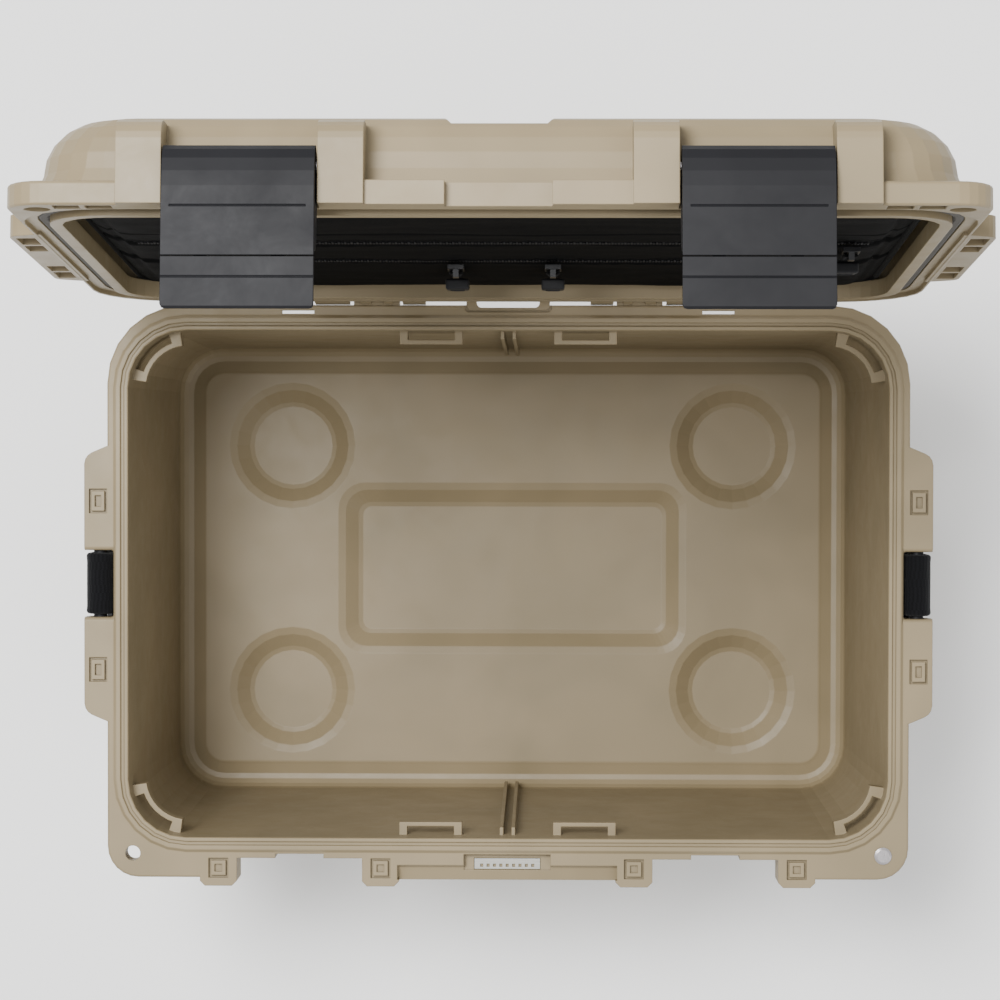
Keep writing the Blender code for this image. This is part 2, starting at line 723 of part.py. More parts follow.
def padlock_rivet(hole, finish):
    """A headed metal plug that closes the right-hand padlock hole."""
    x, y = hole
    shank = PADLOCK_HOLE_RADIUS - GAP
    head = PADLOCK_HOLE_RADIUS + 1.6
    low = RIM_HEIGHT - FLANGE_DROP + 1.0
    rivet = loft(
        [
            (circle(shank - 0.4, (x, y)), low),
            (circle(shank, (x, y)), low + 0.5),
            (circle(shank, (x, y)), RIM_HEIGHT + GAP),
            (circle(head - 1.0, (x, y)), RIM_HEIGHT + GAP),
            (circle(head - 1.0, (x, y)), RIM_HEIGHT + GAP + 0.5),
            (circle(head - 2.4, (x, y)), RIM_HEIGHT + GAP + 1.2),
        ]
    )
    shape_done(rivet, "padlock_rivet", finish)


def rod(name, radius, low, high, centre, along, finish, chamfer=0.4):
    """A round pin with chamfered ends, along X or Y through a centre in the other two axes."""
    place = {"X": lambda a, b, c: (c, a, b), "Y": lambda a, b, c: (a, c, b)}[along]
    bm = bmesh.new()
    end = radius - chamfer
    rings = [(end, low), (radius, low + chamfer), (radius, high - chamfer), (end, high)]
    loops = [[bm.verts.new(place(a, b, c)) for a, b in circle(r, centre)] for r, c in rings]
    for first, second in zip(loops, loops[1:]):
        for k in range(len(first)):
            n = (k + 1) % len(first)
            bm.faces.new((first[k], first[n], second[n], second[k]))
    bm.faces.new(loops[0])
    bm.faces.new(loops[-1])
    return shape_done(solid(name, bm), name, finish)


def strap_outline(pin_x, pin_z, grip_x, grip_z, side):
    """The loop of webbing seen end on: over the pin, down, and round inside the grip."""
    bight_in, bight_out = 1.4, 1.4 + STRAP_THICKNESS
    inner_top = HANDLE_PIN_RADIUS + GAP
    outer = arc((pin_x, pin_z), STRAP_OUTER, 0, 180, 10) + arc((grip_x, grip_z), bight_out, 180, 360, 8)
    inner = arc((pin_x, pin_z), inner_top, 0, 180, 10) + arc((grip_x, grip_z), bight_in, 180, 360, 6)
    return [(side * x, z) for x, z in outer], [(side * x, z) for x, z in inner]


def grip_outline(x, z, bore):
    """The grip seen end on: a round bar with a slot in its top that the webbing drops into."""
    lip = 28
    outer = arc((x, z), GRIP_RADIUS, 180 - lip, 360 + lip, 18)
    top = outer[-1][1]
    return outer + [(x + bore + 0.9, top)] + arc((x, z), bore, 360, 180, 12) + [(x - bore, top)]


def handles(strap_finish, grip_finish, pin_finish):
    pin_x, pin_z = HANDLE_PIN
    grip_x, grip_z = pin_x - GRIP_INSET, pin_z - GRIP_DROP
    bore = 1.4 + STRAP_THICKNESS + GAP
    for name, side in (("left", -1), ("right", 1)):
        reach = NOTCH_HALF + NOTCH_WALL - 0.6
        rod(f"handle_pin_{name}", HANDLE_PIN_RADIUS, -reach, reach, (side * pin_x, pin_z), "Y", pin_finish)
        outer, inner = strap_outline(pin_x, pin_z, grip_x, grip_z, side)
        half = STRAP_WIDTH / 2
        strap = prism(outer, -half, half, "Y")
        cut(strap, prism(inner, -half - 1.0, half + 1.0, "Y"))
        shape_done(strap, f"handle_strap_{name}", strap_finish)
        half = GRIP_LENGTH / 2
        grip = prism(mirrored(grip_outline(grip_x, grip_z, bore), side), -half, half, "Y")
        shape_done(grip, f"handle_grip_{name}", grip_finish)
        for piece in (strap, grip):
            set_origin(piece, side * pin_x, 0.0, pin_z)


def dome_ring(inset, z):
    """A ring round the outside of the lid's dome, whose front and rear lean in less than its sides."""
    half = HALF_X - DOME_SIDE - inset
    lean = DOME_LEAN * inset
    radius = max(MOUTH_RADIUS - lean, 12.0)
    return rounded(half, -HALF_Y - DOME_FRONT + lean, HALF_Y - DOME_REAR - lean, radius), z


def dome_inside(inset, z):
    half = HALF_X - DOME_SIDE + DOME_DRAFT - LID_WALL - inset
    lean = DOME_LEAN * inset
    front = -HALF_Y - DOME_FRONT + LID_WALL + lean
    return rounded(half, front, HALF_Y - DOME_REAR - LID_WALL - lean, 28.0 - lean), z


def seal_offset(across):
    """The offset from the mouth of a point across the lid's seal channel."""
    return GASKET_OFFSET - GAP + across


def lid_shell_skin():
    """One skin from the ceiling down the inside, over the seal channel and flange, and up the dome."""
    lift = SEAT_Z + SEAL_RIB_RISE + 0.2
    roof = lift + GASKET_HEIGHT + GAP
    shelf = roof + 3.0
    top = SEAT_Z + LID_FLANGE
    rim = SEAT_Z - 1.0
    side_top = LID_TOP_Z - DOME_CROWN
    bend = DOME_CROWN - LID_CROWN_WALL
    rings = []
    for turn in (90, 60, 30, 0):
        inset = DOME_DRAFT + bend * (1 - cos(radians(turn)))
        rings.append(dome_inside(inset, side_top + bend * sin(radians(turn))))
    rings += [
        dome_inside(0.0, shelf),
        mouth_ring(-LID_MOUTH_INSET, shelf),
        mouth_ring(-LID_MOUTH_INSET, rim),
        mouth_ring(seal_offset(0.0), rim),
        mouth_ring(seal_offset(0.0), roof),
        mouth_ring(seal_offset(GASKET_WIDTH + 2 * GAP), roof),
        mouth_ring(seal_offset(GASKET_WIDTH + 2 * GAP), lift),
        mouth_ring(10.4, lift),
        mouth_ring(10.9, SEAT_Z),
        flange_ring(0.9, SEAT_Z),
        flange_ring(0.0, SEAT_Z + 0.9),
        flange_ring(0.0, top - 1.5),
        flange_ring(0.45, top - 0.45),
        flange_ring(1.5, top),
        dome_ring(-DOME_DRAFT - 1.2, top),
        dome_ring(-DOME_DRAFT - 0.3, top + 0.4),
        dome_ring(-DOME_DRAFT, top + 1.6),
    ]
    for turn in (0, 18, 36, 54, 72, 90):
        inset = DOME_CROWN * (1 - cos(radians(turn)))
        rings.append(dome_ring(inset, side_top + DOME_CROWN * sin(radians(turn))))
    return loft(rings)


def lid_blocks(lid):
    """Ribs beside the latch bays, the band between them, and the bays cut back for the latches."""
    top = SEAT_Z + LID_FLANGE
    seat_back = -HALF_Y - 12.0
    back = -HALF_Y - DOME_FRONT + 2.0
    front = BLOCK_FRONT_Y
    for side in (-1, 1):
        for near in BLOCKS:
            x0, x1 = span(side, near, near + BLOCK_WIDTH)
            outline = [
                (seat_back, SEAT_Z),
                (front, SEAT_Z),
                (front, LID_TOP_Z - 15.5),
                (front + 0.5, LID_TOP_Z - 12.2),
                (front + 2.0, LID_TOP_Z - 9.2),
                (front + 4.6, LID_TOP_Z - 6.8),
                (front + 8.6, LID_TOP_Z - 5.3),
                (front + 14.0, LID_TOP_Z - 4.8),
                (back + 4.0, LID_TOP_Z - 4.8),
                (back + 2.0, LID_TOP_Z - 9.0),
                (back, top + 2.5),
                (seat_back, top - 1.5),
            ]
            add(lid, prism(outline, x0, x1, "X"))
        x0, x1 = span(side, TAB_HALF, BLOCKS[0] + 1.0)
        add(lid, box(x0, x1, FLANGE_FRONT_Y - BAR_REACH, FLANGE_FRONT_Y + 3.0, SEAT_Z, top))
        x0, x1 = span(side, BLOCKS[0] + BLOCK_WIDTH, BLOCKS[1])
        cut(lid, box(x0, x1, FLANGE_FRONT_Y - 2.0, KEEPER_FRONT_Y, SEAT_Z - 2.0, top + 1.0))
        reach = BAY_HALF + 7.0
        pin = circle(LATCH_PIN_RADIUS + GAP, lid_point(*LINK_PIVOT), 20)
        centre = side * LATCH_CENTRE
        cut(lid, prism(pin, centre - reach, centre + reach, "X"))
    cut(lid, box(-TAB_HALF, TAB_HALF, FLANGE_FRONT_Y - 2.0, FLANGE_FRONT_Y + 4.6, SEAT_Z - 1.0, top + 1.0))


def lid_top(lid):
    """The wide channel over the top and four shallow seats for the feet of a case stacked on it.

    Both are backed by bosses on the ceiling, which keep the wall's thickness under them.
    """
    deep = LID_TOP_Z - CHANNEL_DEPTH
    flare = 4.0
    back = LID_TOP_Z - 1.5
    half = CHANNEL_HALF + flare + LID_BOSS
    add(lid, box(-half, half, -HALF_Y - 0.5, HALF_Y - 10.0, deep - LID_BOSS, back))
    for x in (-FOOT_X, FOOT_X):
        for y in (-FOOT_Y, FOOT_Y):
            boss = circle(FOOT_RIM + 3.0, (x, y), FOOT_STEPS)
            add(lid, prism(boss, LID_TOP_Z - SEAT_DEPTH - LID_BOSS, back))
    outline = [
        (-CHANNEL_HALF, deep),
        (CHANNEL_HALF, deep),
        (CHANNEL_HALF + flare, LID_TOP_Z + 1.0),
        (-CHANNEL_HALF - flare, LID_TOP_Z + 1.0),
    ]
    cut(lid, prism(outline, -HALF_Y - 40.0, HALF_Y + 40.0, "Y"))
    for x in (-FOOT_X, FOOT_X):
        for y in (-FOOT_Y, FOOT_Y):
            low = LID_TOP_Z - SEAT_DEPTH
            cut(lid, frustum((x, y), FOOT_RIM - 6.0, low, FOOT_RIM, LID_TOP_Z + 1.0, FOOT_STEPS))


def lid_ears(lid):
    top = SEAT_Z + LID_FLANGE
    for side in (-1, 1):
        add(lid, prism(mirrored(ear_outline(0.0, FLANGE_X - 4.0), side), SEAT_Z + 0.2, top - 0.3))
        for y0, y1 in ((-72.0, -50.0), (-46.0, -27.0), (27.0, 46.0), (50.0, 72.0)):
            x0, x1 = span(side, FLANGE_X + 1.0, EAR_X - 3.0)
            cut(lid, box(x0, x1, y0, y1, SEAT_Z - 1.0, SEAT_Z + 7.0))
        for x0, x1 in (span(side, 190.5, 203.5), span(side, 206.5, 219.5)):
            cut(lid, box(x0, x1, FLANGE_FRONT_Y + 3.0, -HALF_Y - 12.0, SEAT_Z - 1.0, SEAT_Z + 7.0))
        x, y = FLANGE_X - PADLOCK_INSET[0], FLANGE_FRONT_Y + PADLOCK_INSET[1]
        hole = circle(PADLOCK_HOLE_RADIUS + 2.0, (side * x, y))
        cut(lid, prism(hole, SEAT_Z - 1.0, top + 1.0))


def lid_knuckles(lid):
    """Knuckles outside the tub's own, with tails that meet the tub's flange and stop the lid."""
    for side in (-1, 1):
        for near, far in LID_KNUCKLES:
            x0, x1 = span(side, near, far)
            stop = HINGE_Z - 5.8
            outline = [
                (FLANGE_REAR_Y - 3.0, SEAT_Z + 1.0),
                (FLANGE_REAR_Y - 0.4, stop),
                (HINGE_Y + 12.0, stop),
                (HINGE_Y + 12.0, HINGE_Z + 1.0),
                (HINGE_Y + 5.5, SEAT_Z + LID_FLANGE - 0.3),
                (FLANGE_REAR_Y - 3.0, SEAT_Z + LID_FLANGE - 0.3),
            ]
            add(lid, prism(outline, x0, x1, "X"))
            bore = circle(HINGE_PIN_RADIUS + PIN_PLAY, (HINGE_Y, HINGE_Z))
            cut(lid, prism(bore, x0 - 1.0, x1 + 1.0, "X"))


def make_lid(finish):
    lid = lid_shell_skin()
    lid_blocks(lid)
    lid_top(lid)
    lid_ears(lid)
    lid_knuckles(lid)
    shape_done(lid, "lid_shell", finish)
    open_with_lid(lid)


def gasket(finish):
    lift = SEAT_Z + SEAL_RIB_RISE + 0.2
    inner = GASKET_OFFSET
    rings = [
        mouth_ring(inner, lift + GASKET_HEIGHT),
        mouth_ring(inner, lift + 0.6),
        mouth_ring(inner + 1.2, lift),
        mouth_ring(inner + GASKET_WIDTH - 1.2, lift),
        mouth_ring(inner + GASKET_WIDTH, lift + 0.6),
        mouth_ring(inner + GASKET_WIDTH, lift + GASKET_HEIGHT),
    ]
    seal = shape_done(ring_solid(rings), "lid_gasket", finish)
    open_with_lid(seal)


def hinge_pins(finish):
    for name, side in (("left", -1), ("right", 1)):
        x0, x1 = span(side, LID_KNUCKLES[0][0] + 0.8, LID_KNUCKLES[1][1] - 0.8)
        rod(f"hinge_pin_{name}", HINGE_PIN_RADIUS, x0, x1, (HINGE_Y, HINGE_Z), "X", finish)


def latch_corners(piece, centre, height):
    """Round the two lower corners of a latch's finger plate."""
    half = LATCH_WIDTH / 2
    z = HINGE_Z + height
    y0, y1 = HINGE_Y - LATCH_FACE - 4.0, HINGE_Y - LATCH_FACE + 6.0
    for side in (-1, 1):
        edge = centre + side * half
        corner = [
            (edge - side * (LATCH_CORNER + 0.7), z - 0.4),
            (edge - side * LATCH_CORNER * 0.3, z + LATCH_CORNER * 0.3),
            (edge + side * 0.4, z + LATCH_CORNER + 0.7),
            (edge + side * 2.0, z + LATCH_CORNER + 0.7),
            (edge + side * 2.0, z - 2.0),
            (edge - side * LATCH_CORNER, z - 2.0),
        ]
        cut(piece, prism(corner, y0, y1, "Y"))


def latch_link(name, centre, finish):
    """The latch's upper part: a bent plate with a cheek down each side, hung from the lid's pin.

    Two arms behind the plate carry the lever's pin.
    """
    face = LATCH_FACE
    back = face - LATCH_PLATE
    pivot, height = LINK_PIVOT
    reach, low = LEVER_PIVOT
    foot = low + 5.8
    skin = [
        (face - 11.0, height + 9.6),
        (face - 7.6, height + 8.9),
        (face - 4.8, height + 6.6),
        (face - 2.7, height + 2.0),
        (face - 1.2, height - 4.5),
        (face - 0.3, height - 12.0),
        (face, height - 20.5),
    ]
    groove = [(face, -8.2), (face - 0.6, -8.8), (face, -9.4)]
    lining = [
        (back, -8.5),
        (back - 0.4, height - 12.0),
        (back - 1.4, height - 5.0),
        (back - 3.0, height + 1.0),
        (back - 5.0, height + 4.6),
        (back - 8.4, height + 6.6),
    ]
    half = LATCH_WIDTH / 2
    outline = skin + groove + [(face, foot), (back, foot + 2.6)] + lining
    link = prism(lid_outline(outline), centre - half, centre + half, "X")
    cheek = skin + [(face, foot), (back, foot + 2.6), (reach, foot + 3.0), (reach - 4.5, foot + 3.7)]
    cheek += [(pivot - 2.0, -26.0), (pivot - 6.0, -10.0), (pivot - 6.0, height), (pivot - 3.0, height + 6.0)]
    for side in (-1, 1):
        x0, x1 = span(side, half - LATCH_CHEEK, half)
        add(link, prism(lid_outline(cheek), centre + x0, centre + x1, "X"))
    hub = LEVER_BARREL - 0.4
    arm = [
        (back + 0.6, -9.0),
        (back + 0.6, -26.0),
        (reach - 3.7, -30.5),
        (reach - 3.7, low + 2.5),
        (reach, low + 1.5),
        (reach, low - hub + 0.1),
        (reach - 5.5, low - hub + 0.1),
        (reach - 9.5, low + 1.0),
        (reach - 9.5, -12.0),
    ]
    for side in (-1, 1):
        x0, x1 = span(side, *LEVER_ARM)
        limb = prism(lid_outline(arm), centre + x0, centre + x1, "X")
        add(limb, prism(circle(hub, lid_point(*LEVER_PIVOT)), centre + x0 + 0.05, centre + x1 - 0.05, "X"))
        add(link, limb)
    for point, radius in ((LINK_PIVOT, LATCH_PIN_RADIUS), (LEVER_PIVOT, LEVER_PIN_RADIUS)):
        bore = circle(radius + PIN_PLAY, lid_point(*point), 16)
        cut(link, prism(bore, centre - half - 1.0, centre + half + 1.0, "X"))
    shape_done(link, name, finish)
    open_with_lid(link)
    set_origin(link, centre, *lid_point(*LINK_PIVOT), with_lid=True)


def latch_lever(name, centre, finish):
    """The latch's lower part: a finger plate on a split barrel, with hooks that go under the tub's keeper."""
    face = LATCH_FACE
    back = face - LATCH_PLATE + 0.5
    reach, height = LEVER_PIVOT
    under = RIM_HEIGHT - 2.0 - KEEPER_DEPTH - HINGE_Z - HOOK_DROP
    half = LATCH_WIDTH / 2
    finger = [
        (face, height + 5.2),
        (face, -43.1),
        (face - 0.6, -43.7),
        (face, -44.3),
        (face + 0.8, -58.2),
        (face - 0.6, -59.4),
        (back - 0.6, -58.6),
        (back, -45.0),
        (back, height + 5.2),
    ]
    lever = prism(lid_outline(finger), centre - half, centre + half, "X")
    latch_corners(lever, centre, -59.4)
    joined = back + 0.6
    web = [(reach, height - 3.3), (joined, height - 3.3), (joined, height + 3.3), (reach, height + 3.3)]
    gap = 0.5
    for near, far in (
        (-LEVER_ARM[0] + gap, LEVER_ARM[0] - gap),
        (LEVER_ARM[1] + gap, half - 2.3),
        (-half + 2.3, -LEVER_ARM[1] - gap),
    ):
        barrel = prism(circle(LEVER_BARREL, lid_point(reach, height)), centre + near, centre + far, "X")
        add(barrel, prism(lid_outline(web), centre + near + 0.4, centre + far - 0.4, "X"))
        add(lever, barrel)
    hook = [
        (reach - 1.0, height - 2.0),
        (reach - 11.0, height + 2.0),
        (HOOK_TIP + 2.0, under - 8.0),
        (HOOK_TIP, under - 4.5),
        (HOOK_TIP, under),
        (HOOK_TIP + 3.4, under),
        (HOOK_TIP + 4.6, under - 3.6),
        (reach - 9.0, height + 7.5),
        (reach - 1.6, height + 2.4),
    ]
    for side in (-1, 1):
        x0, x1 = span(side, *LEVER_HOOK)
        add(lever, prism(lid_outline(hook), centre + x0, centre + x1, "X"))
    bore = circle(LEVER_PIN_RADIUS + PIN_PLAY, lid_point(*LEVER_PIVOT), 16)
    cut(lever, prism(bore, centre - half - 1.0, centre + half + 1.0, "X"))
    shape_done(lever, name, finish)
    open_with_lid(lever)
    set_origin(lever, centre, *lid_point(*LEVER_PIVOT), with_lid=True)


def latches(finish, pin_finish):
    for name, side in (("left", -1), ("right", 1)):
        centre = side * LATCH_CENTRE
        latch_link(f"latch_link_{name}", centre, finish)
        latch_lever(f"latch_lever_{name}", centre, finish)
        reach = BAY_HALF + 6.5
        pivot = rod(
            f"latch_pivot_pin_{name}", LATCH_PIN_RADIUS, centre - reach, centre + reach,
            lid_point(*LINK_PIVOT), "X", pin_finish,
        )
        reach = LATCH_WIDTH / 2 - 2.7
        hinge = rod(
            f"lever_pin_{name}", LEVER_PIN_RADIUS, centre - reach, centre + reach,
            lid_point(*LEVER_PIVOT), "X", pin_finish, 0.3,
        )
        open_with_lid(pivot, hinge)
        set_origin(hinge, centre, *lid_point(*LINK_PIVOT), with_lid=True)


def organiser_ring(inset, height):
    """A ring of the organiser's outline at a height above the hinge axis."""
    half_x = HALF_X - LID_MOUTH_INSET - ORGANISER_INSET - inset
    half_y = HALF_Y - LID_MOUTH_INSET - ORGANISER_INSET - inset
    return rounded(half_x, -half_y, half_y, max(24.0 - inset / 2, 6.0)), HINGE_Z + height


def organiser(fabric, board, metal):
    """A fabric pocket panel on a board that is screwed to the lid's ceiling."""
    face = ORGANISER_FACE
    panel = loft(
        [
            organiser_ring(1.5, ORGANISER_BACK),
            organiser_ring(0.0, ORGANISER_BACK - 1.0),
            organiser_ring(0.0, ORGANISER_EDGE),
            organiser_ring(4.0, ORGANISER_EDGE - 2.0),
            organiser_ring(12.0, face + 2.2),
            organiser_ring(26.0, face),
        ]
    )
    shape_done(panel, "organiser_panel", fabric)
    rise = HINGE_Z + ORGANISER_BACK + GAP
    back = loft([organiser_ring(2.0, ORGANISER_BACK + GAP), organiser_ring(2.0, ORGANISER_BACK + GAP + 2.0)])
    shape_done(back, "organiser_board", board)
    open_with_lid(panel, back)
    ceiling = LID_TOP_Z - SEAT_DEPTH - LID_BOSS
    for name, x, y in (
        ("front_left", -1, -1),
        ("front_right", 1, -1),
        ("rear_left", -1, 1),
        ("rear_right", 1, 1),
    ):
        centre = (x * 170.0, y * 105.0)
        post = frustum(centre, 5.0, rise + 2.0 + GAP, 5.0, ceiling - GAP, 16)
        shape_done(post, f"organiser_post_{name}", metal)
        open_with_lid(post)


def zip_level():
    return ORGANISER_FACE - GAP


def zip_tape(name, reach, half, finish):
    width, thickness = ZIP_TAPE
    y = HINGE_Y - reach
    z = HINGE_Z + zip_level()
    tape = box(-half, half, y - width / 2, y + width / 2, z - thickness, z)
    shape_done(tape, name, finish)
    open_with_lid(tape)


def pull_pivot(reach):
    """The shut y and z of the middle of a slider's bridge."""
    base = HINGE_Z + zip_level() - ZIP_TAPE[1] - GAP - SLIDER_SIZE[2]
    return HINGE_Y - reach, base - (BRIDGE[2] - BRIDGE[3]) / 2


def zip_slider(name, x, reach, finish):
    """A slider with a bridge on its face that the pull's cord passes through."""
    length, width, height = SLIDER_SIZE
    y = HINGE_Y - reach
    z = HINGE_Z + zip_level() - ZIP_TAPE[1] - GAP
    slider = box(x - length / 2, x + length / 2, y - width / 2, y + width / 2, z - height, z)
    across, along, rise, strip = BRIDGE
    base = z - height
    bridge = [
        (y - along / 2, base + 0.5),
        (y - along / 2 + 1.0, base - rise),
        (y + along / 2 - 1.0, base - rise),
        (y + along / 2, base + 0.5),
    ]
    add(slider, prism(bridge, x - across / 2, x + across / 2, "X"))
    half = along / 2 - 1.7
    cut(slider, box(x - across, x + across, y - half, y + half, base - rise + strip, base))
    shape_done(slider, name, finish)
    open_with_lid(slider)
    set_origin(slider, x, y, z, with_lid=True)


def zip_pull(name, x, reach, finish):
    """A cord loop through the slider's bridge and a moulded tab on its end, hanging plumb."""
    y, drop = pull_pivot(reach)
    half = PULL_CORD / 2
    inner = BRIDGE[0] / 2 + 0.6
    outer = inner + PULL_CORD
    pull = box(x - outer, x + outer, y - half, y + PULL_DROP, drop - half, drop + half)
    end = y + PULL_DROP - 4.0
    cut(pull, box(x - inner, x + inner, y + half, end, drop - half - 1.0, drop + half + 1.0))
    width, length, height = PULL_TAB
    start = y + PULL_DROP - 2.0
    tab = [(x + a, b) for a, b in rounded(width / 2, start, start + length, 3.0)]
    add(pull, prism(tab, drop - height / 2, drop + height / 2))
    pivot = Vector((x, y, drop)) / 1000
    lean = Matrix.Rotation(radians(90.0 - LID_OPENS_BY), 4, "X")
    pull.data.transform(Matrix.Translation(pivot) @ lean @ Matrix.Translation(-pivot))
    shape_done(pull, name, finish)
    open_with_lid(pull)
    set_origin(pull, x, y, drop, with_lid=True)


def zips(tape_finish, metal, pull_finish):
    zip_tape("zip_tape_lower", *LOWER_ZIP, tape_finish)
    zip_tape("zip_tape_upper", *UPPER_ZIP, tape_finish)
    for name, x, reach in (
        ("left", -LOWER_SLIDER_X, LOWER_ZIP[0]),
        ("right", LOWER_SLIDER_X, LOWER_ZIP[0]),
        ("upper", UPPER_SLIDER_X, UPPER_ZIP[0]),
    ):
        zip_slider(f"zip_slider_{name}", x, reach, metal)
        zip_pull(f"zip_pull_{name}", x, reach, pull_finish)


def main():
    clear_scene()
    polymer = material("tan_polymer", TAN, 0.5)
    latch_polymer = material("charcoal_polymer", CHARCOAL, 0.5)
    webbing = material("black_webbing", BLACK, 0.9)
    fabric = material("black_fabric", BLACK, 0.9)
    rubber = material("grey_rubber", GREY, 0.7)
    steel = material("steel", STEEL, 0.3, 1.0)
    vent_y, hole = make_tub(polymer)
    foot_pads(rubber)
    vent_plate(vent_y, steel)
    padlock_rivet(hole, steel)
    handles(webbing, latch_polymer, steel)
    make_lid(polymer)
    gasket(rubber)
    hinge_pins(steel)
    latches(latch_polymer, steel)
    organiser(fabric, latch_polymer, steel)
    zips(fabric, steel, latch_polymer)
    for made in bpy.data.objects:
        made.location.y += ORIGIN_SHIFT / 1000


main()
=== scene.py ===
import json
from math import cos, pi, radians, sin

import bmesh
import bpy
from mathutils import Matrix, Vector, noise


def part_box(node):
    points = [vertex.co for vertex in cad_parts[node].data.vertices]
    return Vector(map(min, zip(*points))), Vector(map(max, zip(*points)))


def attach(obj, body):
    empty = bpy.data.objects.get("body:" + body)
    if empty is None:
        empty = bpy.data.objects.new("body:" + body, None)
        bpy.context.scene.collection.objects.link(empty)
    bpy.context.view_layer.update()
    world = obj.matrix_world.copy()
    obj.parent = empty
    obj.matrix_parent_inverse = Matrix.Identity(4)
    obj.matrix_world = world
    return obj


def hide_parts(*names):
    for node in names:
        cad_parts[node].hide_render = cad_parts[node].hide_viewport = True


# The looks of a moulded gear case, standing open: the polymer shells, latches and pins keep their packed
# shape, and the webbing, the lid organiser and its zips are made here. Named sizes are in millimetres.

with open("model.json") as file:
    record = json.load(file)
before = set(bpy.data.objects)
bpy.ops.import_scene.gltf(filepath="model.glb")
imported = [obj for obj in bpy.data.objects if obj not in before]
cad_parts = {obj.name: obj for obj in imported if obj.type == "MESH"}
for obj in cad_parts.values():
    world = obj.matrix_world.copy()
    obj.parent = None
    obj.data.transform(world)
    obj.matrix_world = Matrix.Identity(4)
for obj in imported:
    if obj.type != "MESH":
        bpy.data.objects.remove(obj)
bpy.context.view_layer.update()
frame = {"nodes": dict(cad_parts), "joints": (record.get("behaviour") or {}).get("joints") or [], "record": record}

MM = 0.001
JOINTS = {joint["name"]: joint for joint in frame["joints"]}
HINGE = Vector(JOINTS["lid_hinge"]["pos_m"])
OPEN_ANGLE = radians(JOINTS["lid_hinge"]["range_deg"][1])


# ---------------------------------------------------------------- materials

def linear(code):
    """An sRGB hex colour as linear RGBA."""
    parts = [int(code[k:k + 2], 16) / 255 for k in (1, 3, 5)]
    return (*[c / 12.92 if c <= 0.04045 else ((c + 0.055) / 1.055) ** 2.4 for c in parts], 1.0)


def add_node(tree, kind, inputs=None, **settings):
    """One node with its settings; an input given as a socket is linked, any other is set."""
    made = tree.nodes.new(kind)
    for name, value in settings.items():
        setattr(made, name, value)
    for name, value in (inputs or {}).items():
        if isinstance(value, bpy.types.NodeSocket):
            tree.links.new(value, made.inputs[name])
        else:
            made.inputs[name].default_value = value
    return made


def new_finish(name):
    """An empty Principled material: its tree, its shader and the object's own coordinates."""
    finish = bpy.data.materials.new(name)
    finish.use_nodes = True
    tree = finish.node_tree
    shader = tree.nodes["Principled BSDF"]
    place = add_node(tree, "ShaderNodeTexCoord").outputs["Object"]
    return finish, tree, shader, place


def moulded_polymer(name, light, dark, roughness, edge, texture=0.55, relief=0.035, gloss=0.5):
    """Injection-moulded polymer: an eroded tool leaves a fine even texture that breaks up the gloss,
    the colour drifts slowly where the melt flowed, and every edge keeps the small radius of its tool.
    The edge radius and the texture's grain and relief are in millimetres; the grain is drawn coarser
    than a tool's real one, so that it shows."""
    flow_width, scuff_width = 90 * MM, 24 * MM
    finish, tree, shader, place = new_finish(name)
    drift = add_node(
        tree, "ShaderNodeTexNoise", {"Vector": place, "Scale": 1 / flow_width, "Distortion": 0.6}
    )
    cloud = add_node(
        tree, "ShaderNodeMapRange", {"Value": drift.outputs["Fac"], "From Min": 0.35, "From Max": 0.65}
    )
    tone = add_node(
        tree, "ShaderNodeMix", {0: cloud.outputs[0], 6: linear(light), 7: linear(dark)}, data_type="RGBA"
    )
    tree.links.new(tone.outputs[2], shader.inputs["Base Color"])
    scuff = add_node(
        tree, "ShaderNodeTexNoise",
        {"Vector": place, "Scale": 1 / scuff_width, "Detail": 5.0, "Roughness": 0.7, "Distortion": 0.4},
    )
    uneven = add_node(
        tree, "ShaderNodeMapRange",
        {
            "Value": scuff.outputs["Fac"], "From Min": 0.3, "From Max": 0.75,
            "To Min": roughness - 0.05, "To Max": roughness + 0.07,
        },
    )
    tree.links.new(uneven.outputs[0], shader.inputs["Roughness"])
    rounded_edges = add_node(tree, "ShaderNodeBevel", {"Radius": edge * MM}, samples=6)
    erosion = add_node(
        tree, "ShaderNodeTexNoise", {"Vector": place, "Scale": 1 / (texture * MM), "Roughness": 0.6}
    )
    skin = add_node(
        tree, "ShaderNodeBump",
        {
            "Height": erosion.outputs["Fac"], "Distance": relief * MM, "Strength": 0.7,
            "Normal": rounded_edges.outputs["Normal"],
        },
    )
    tree.links.new(skin.outputs["Normal"], shader.inputs["Normal"])
    shader.inputs["IOR"].default_value = 1.49
    shader.inputs["Specular IOR Level"].default_value = gloss
    return finish


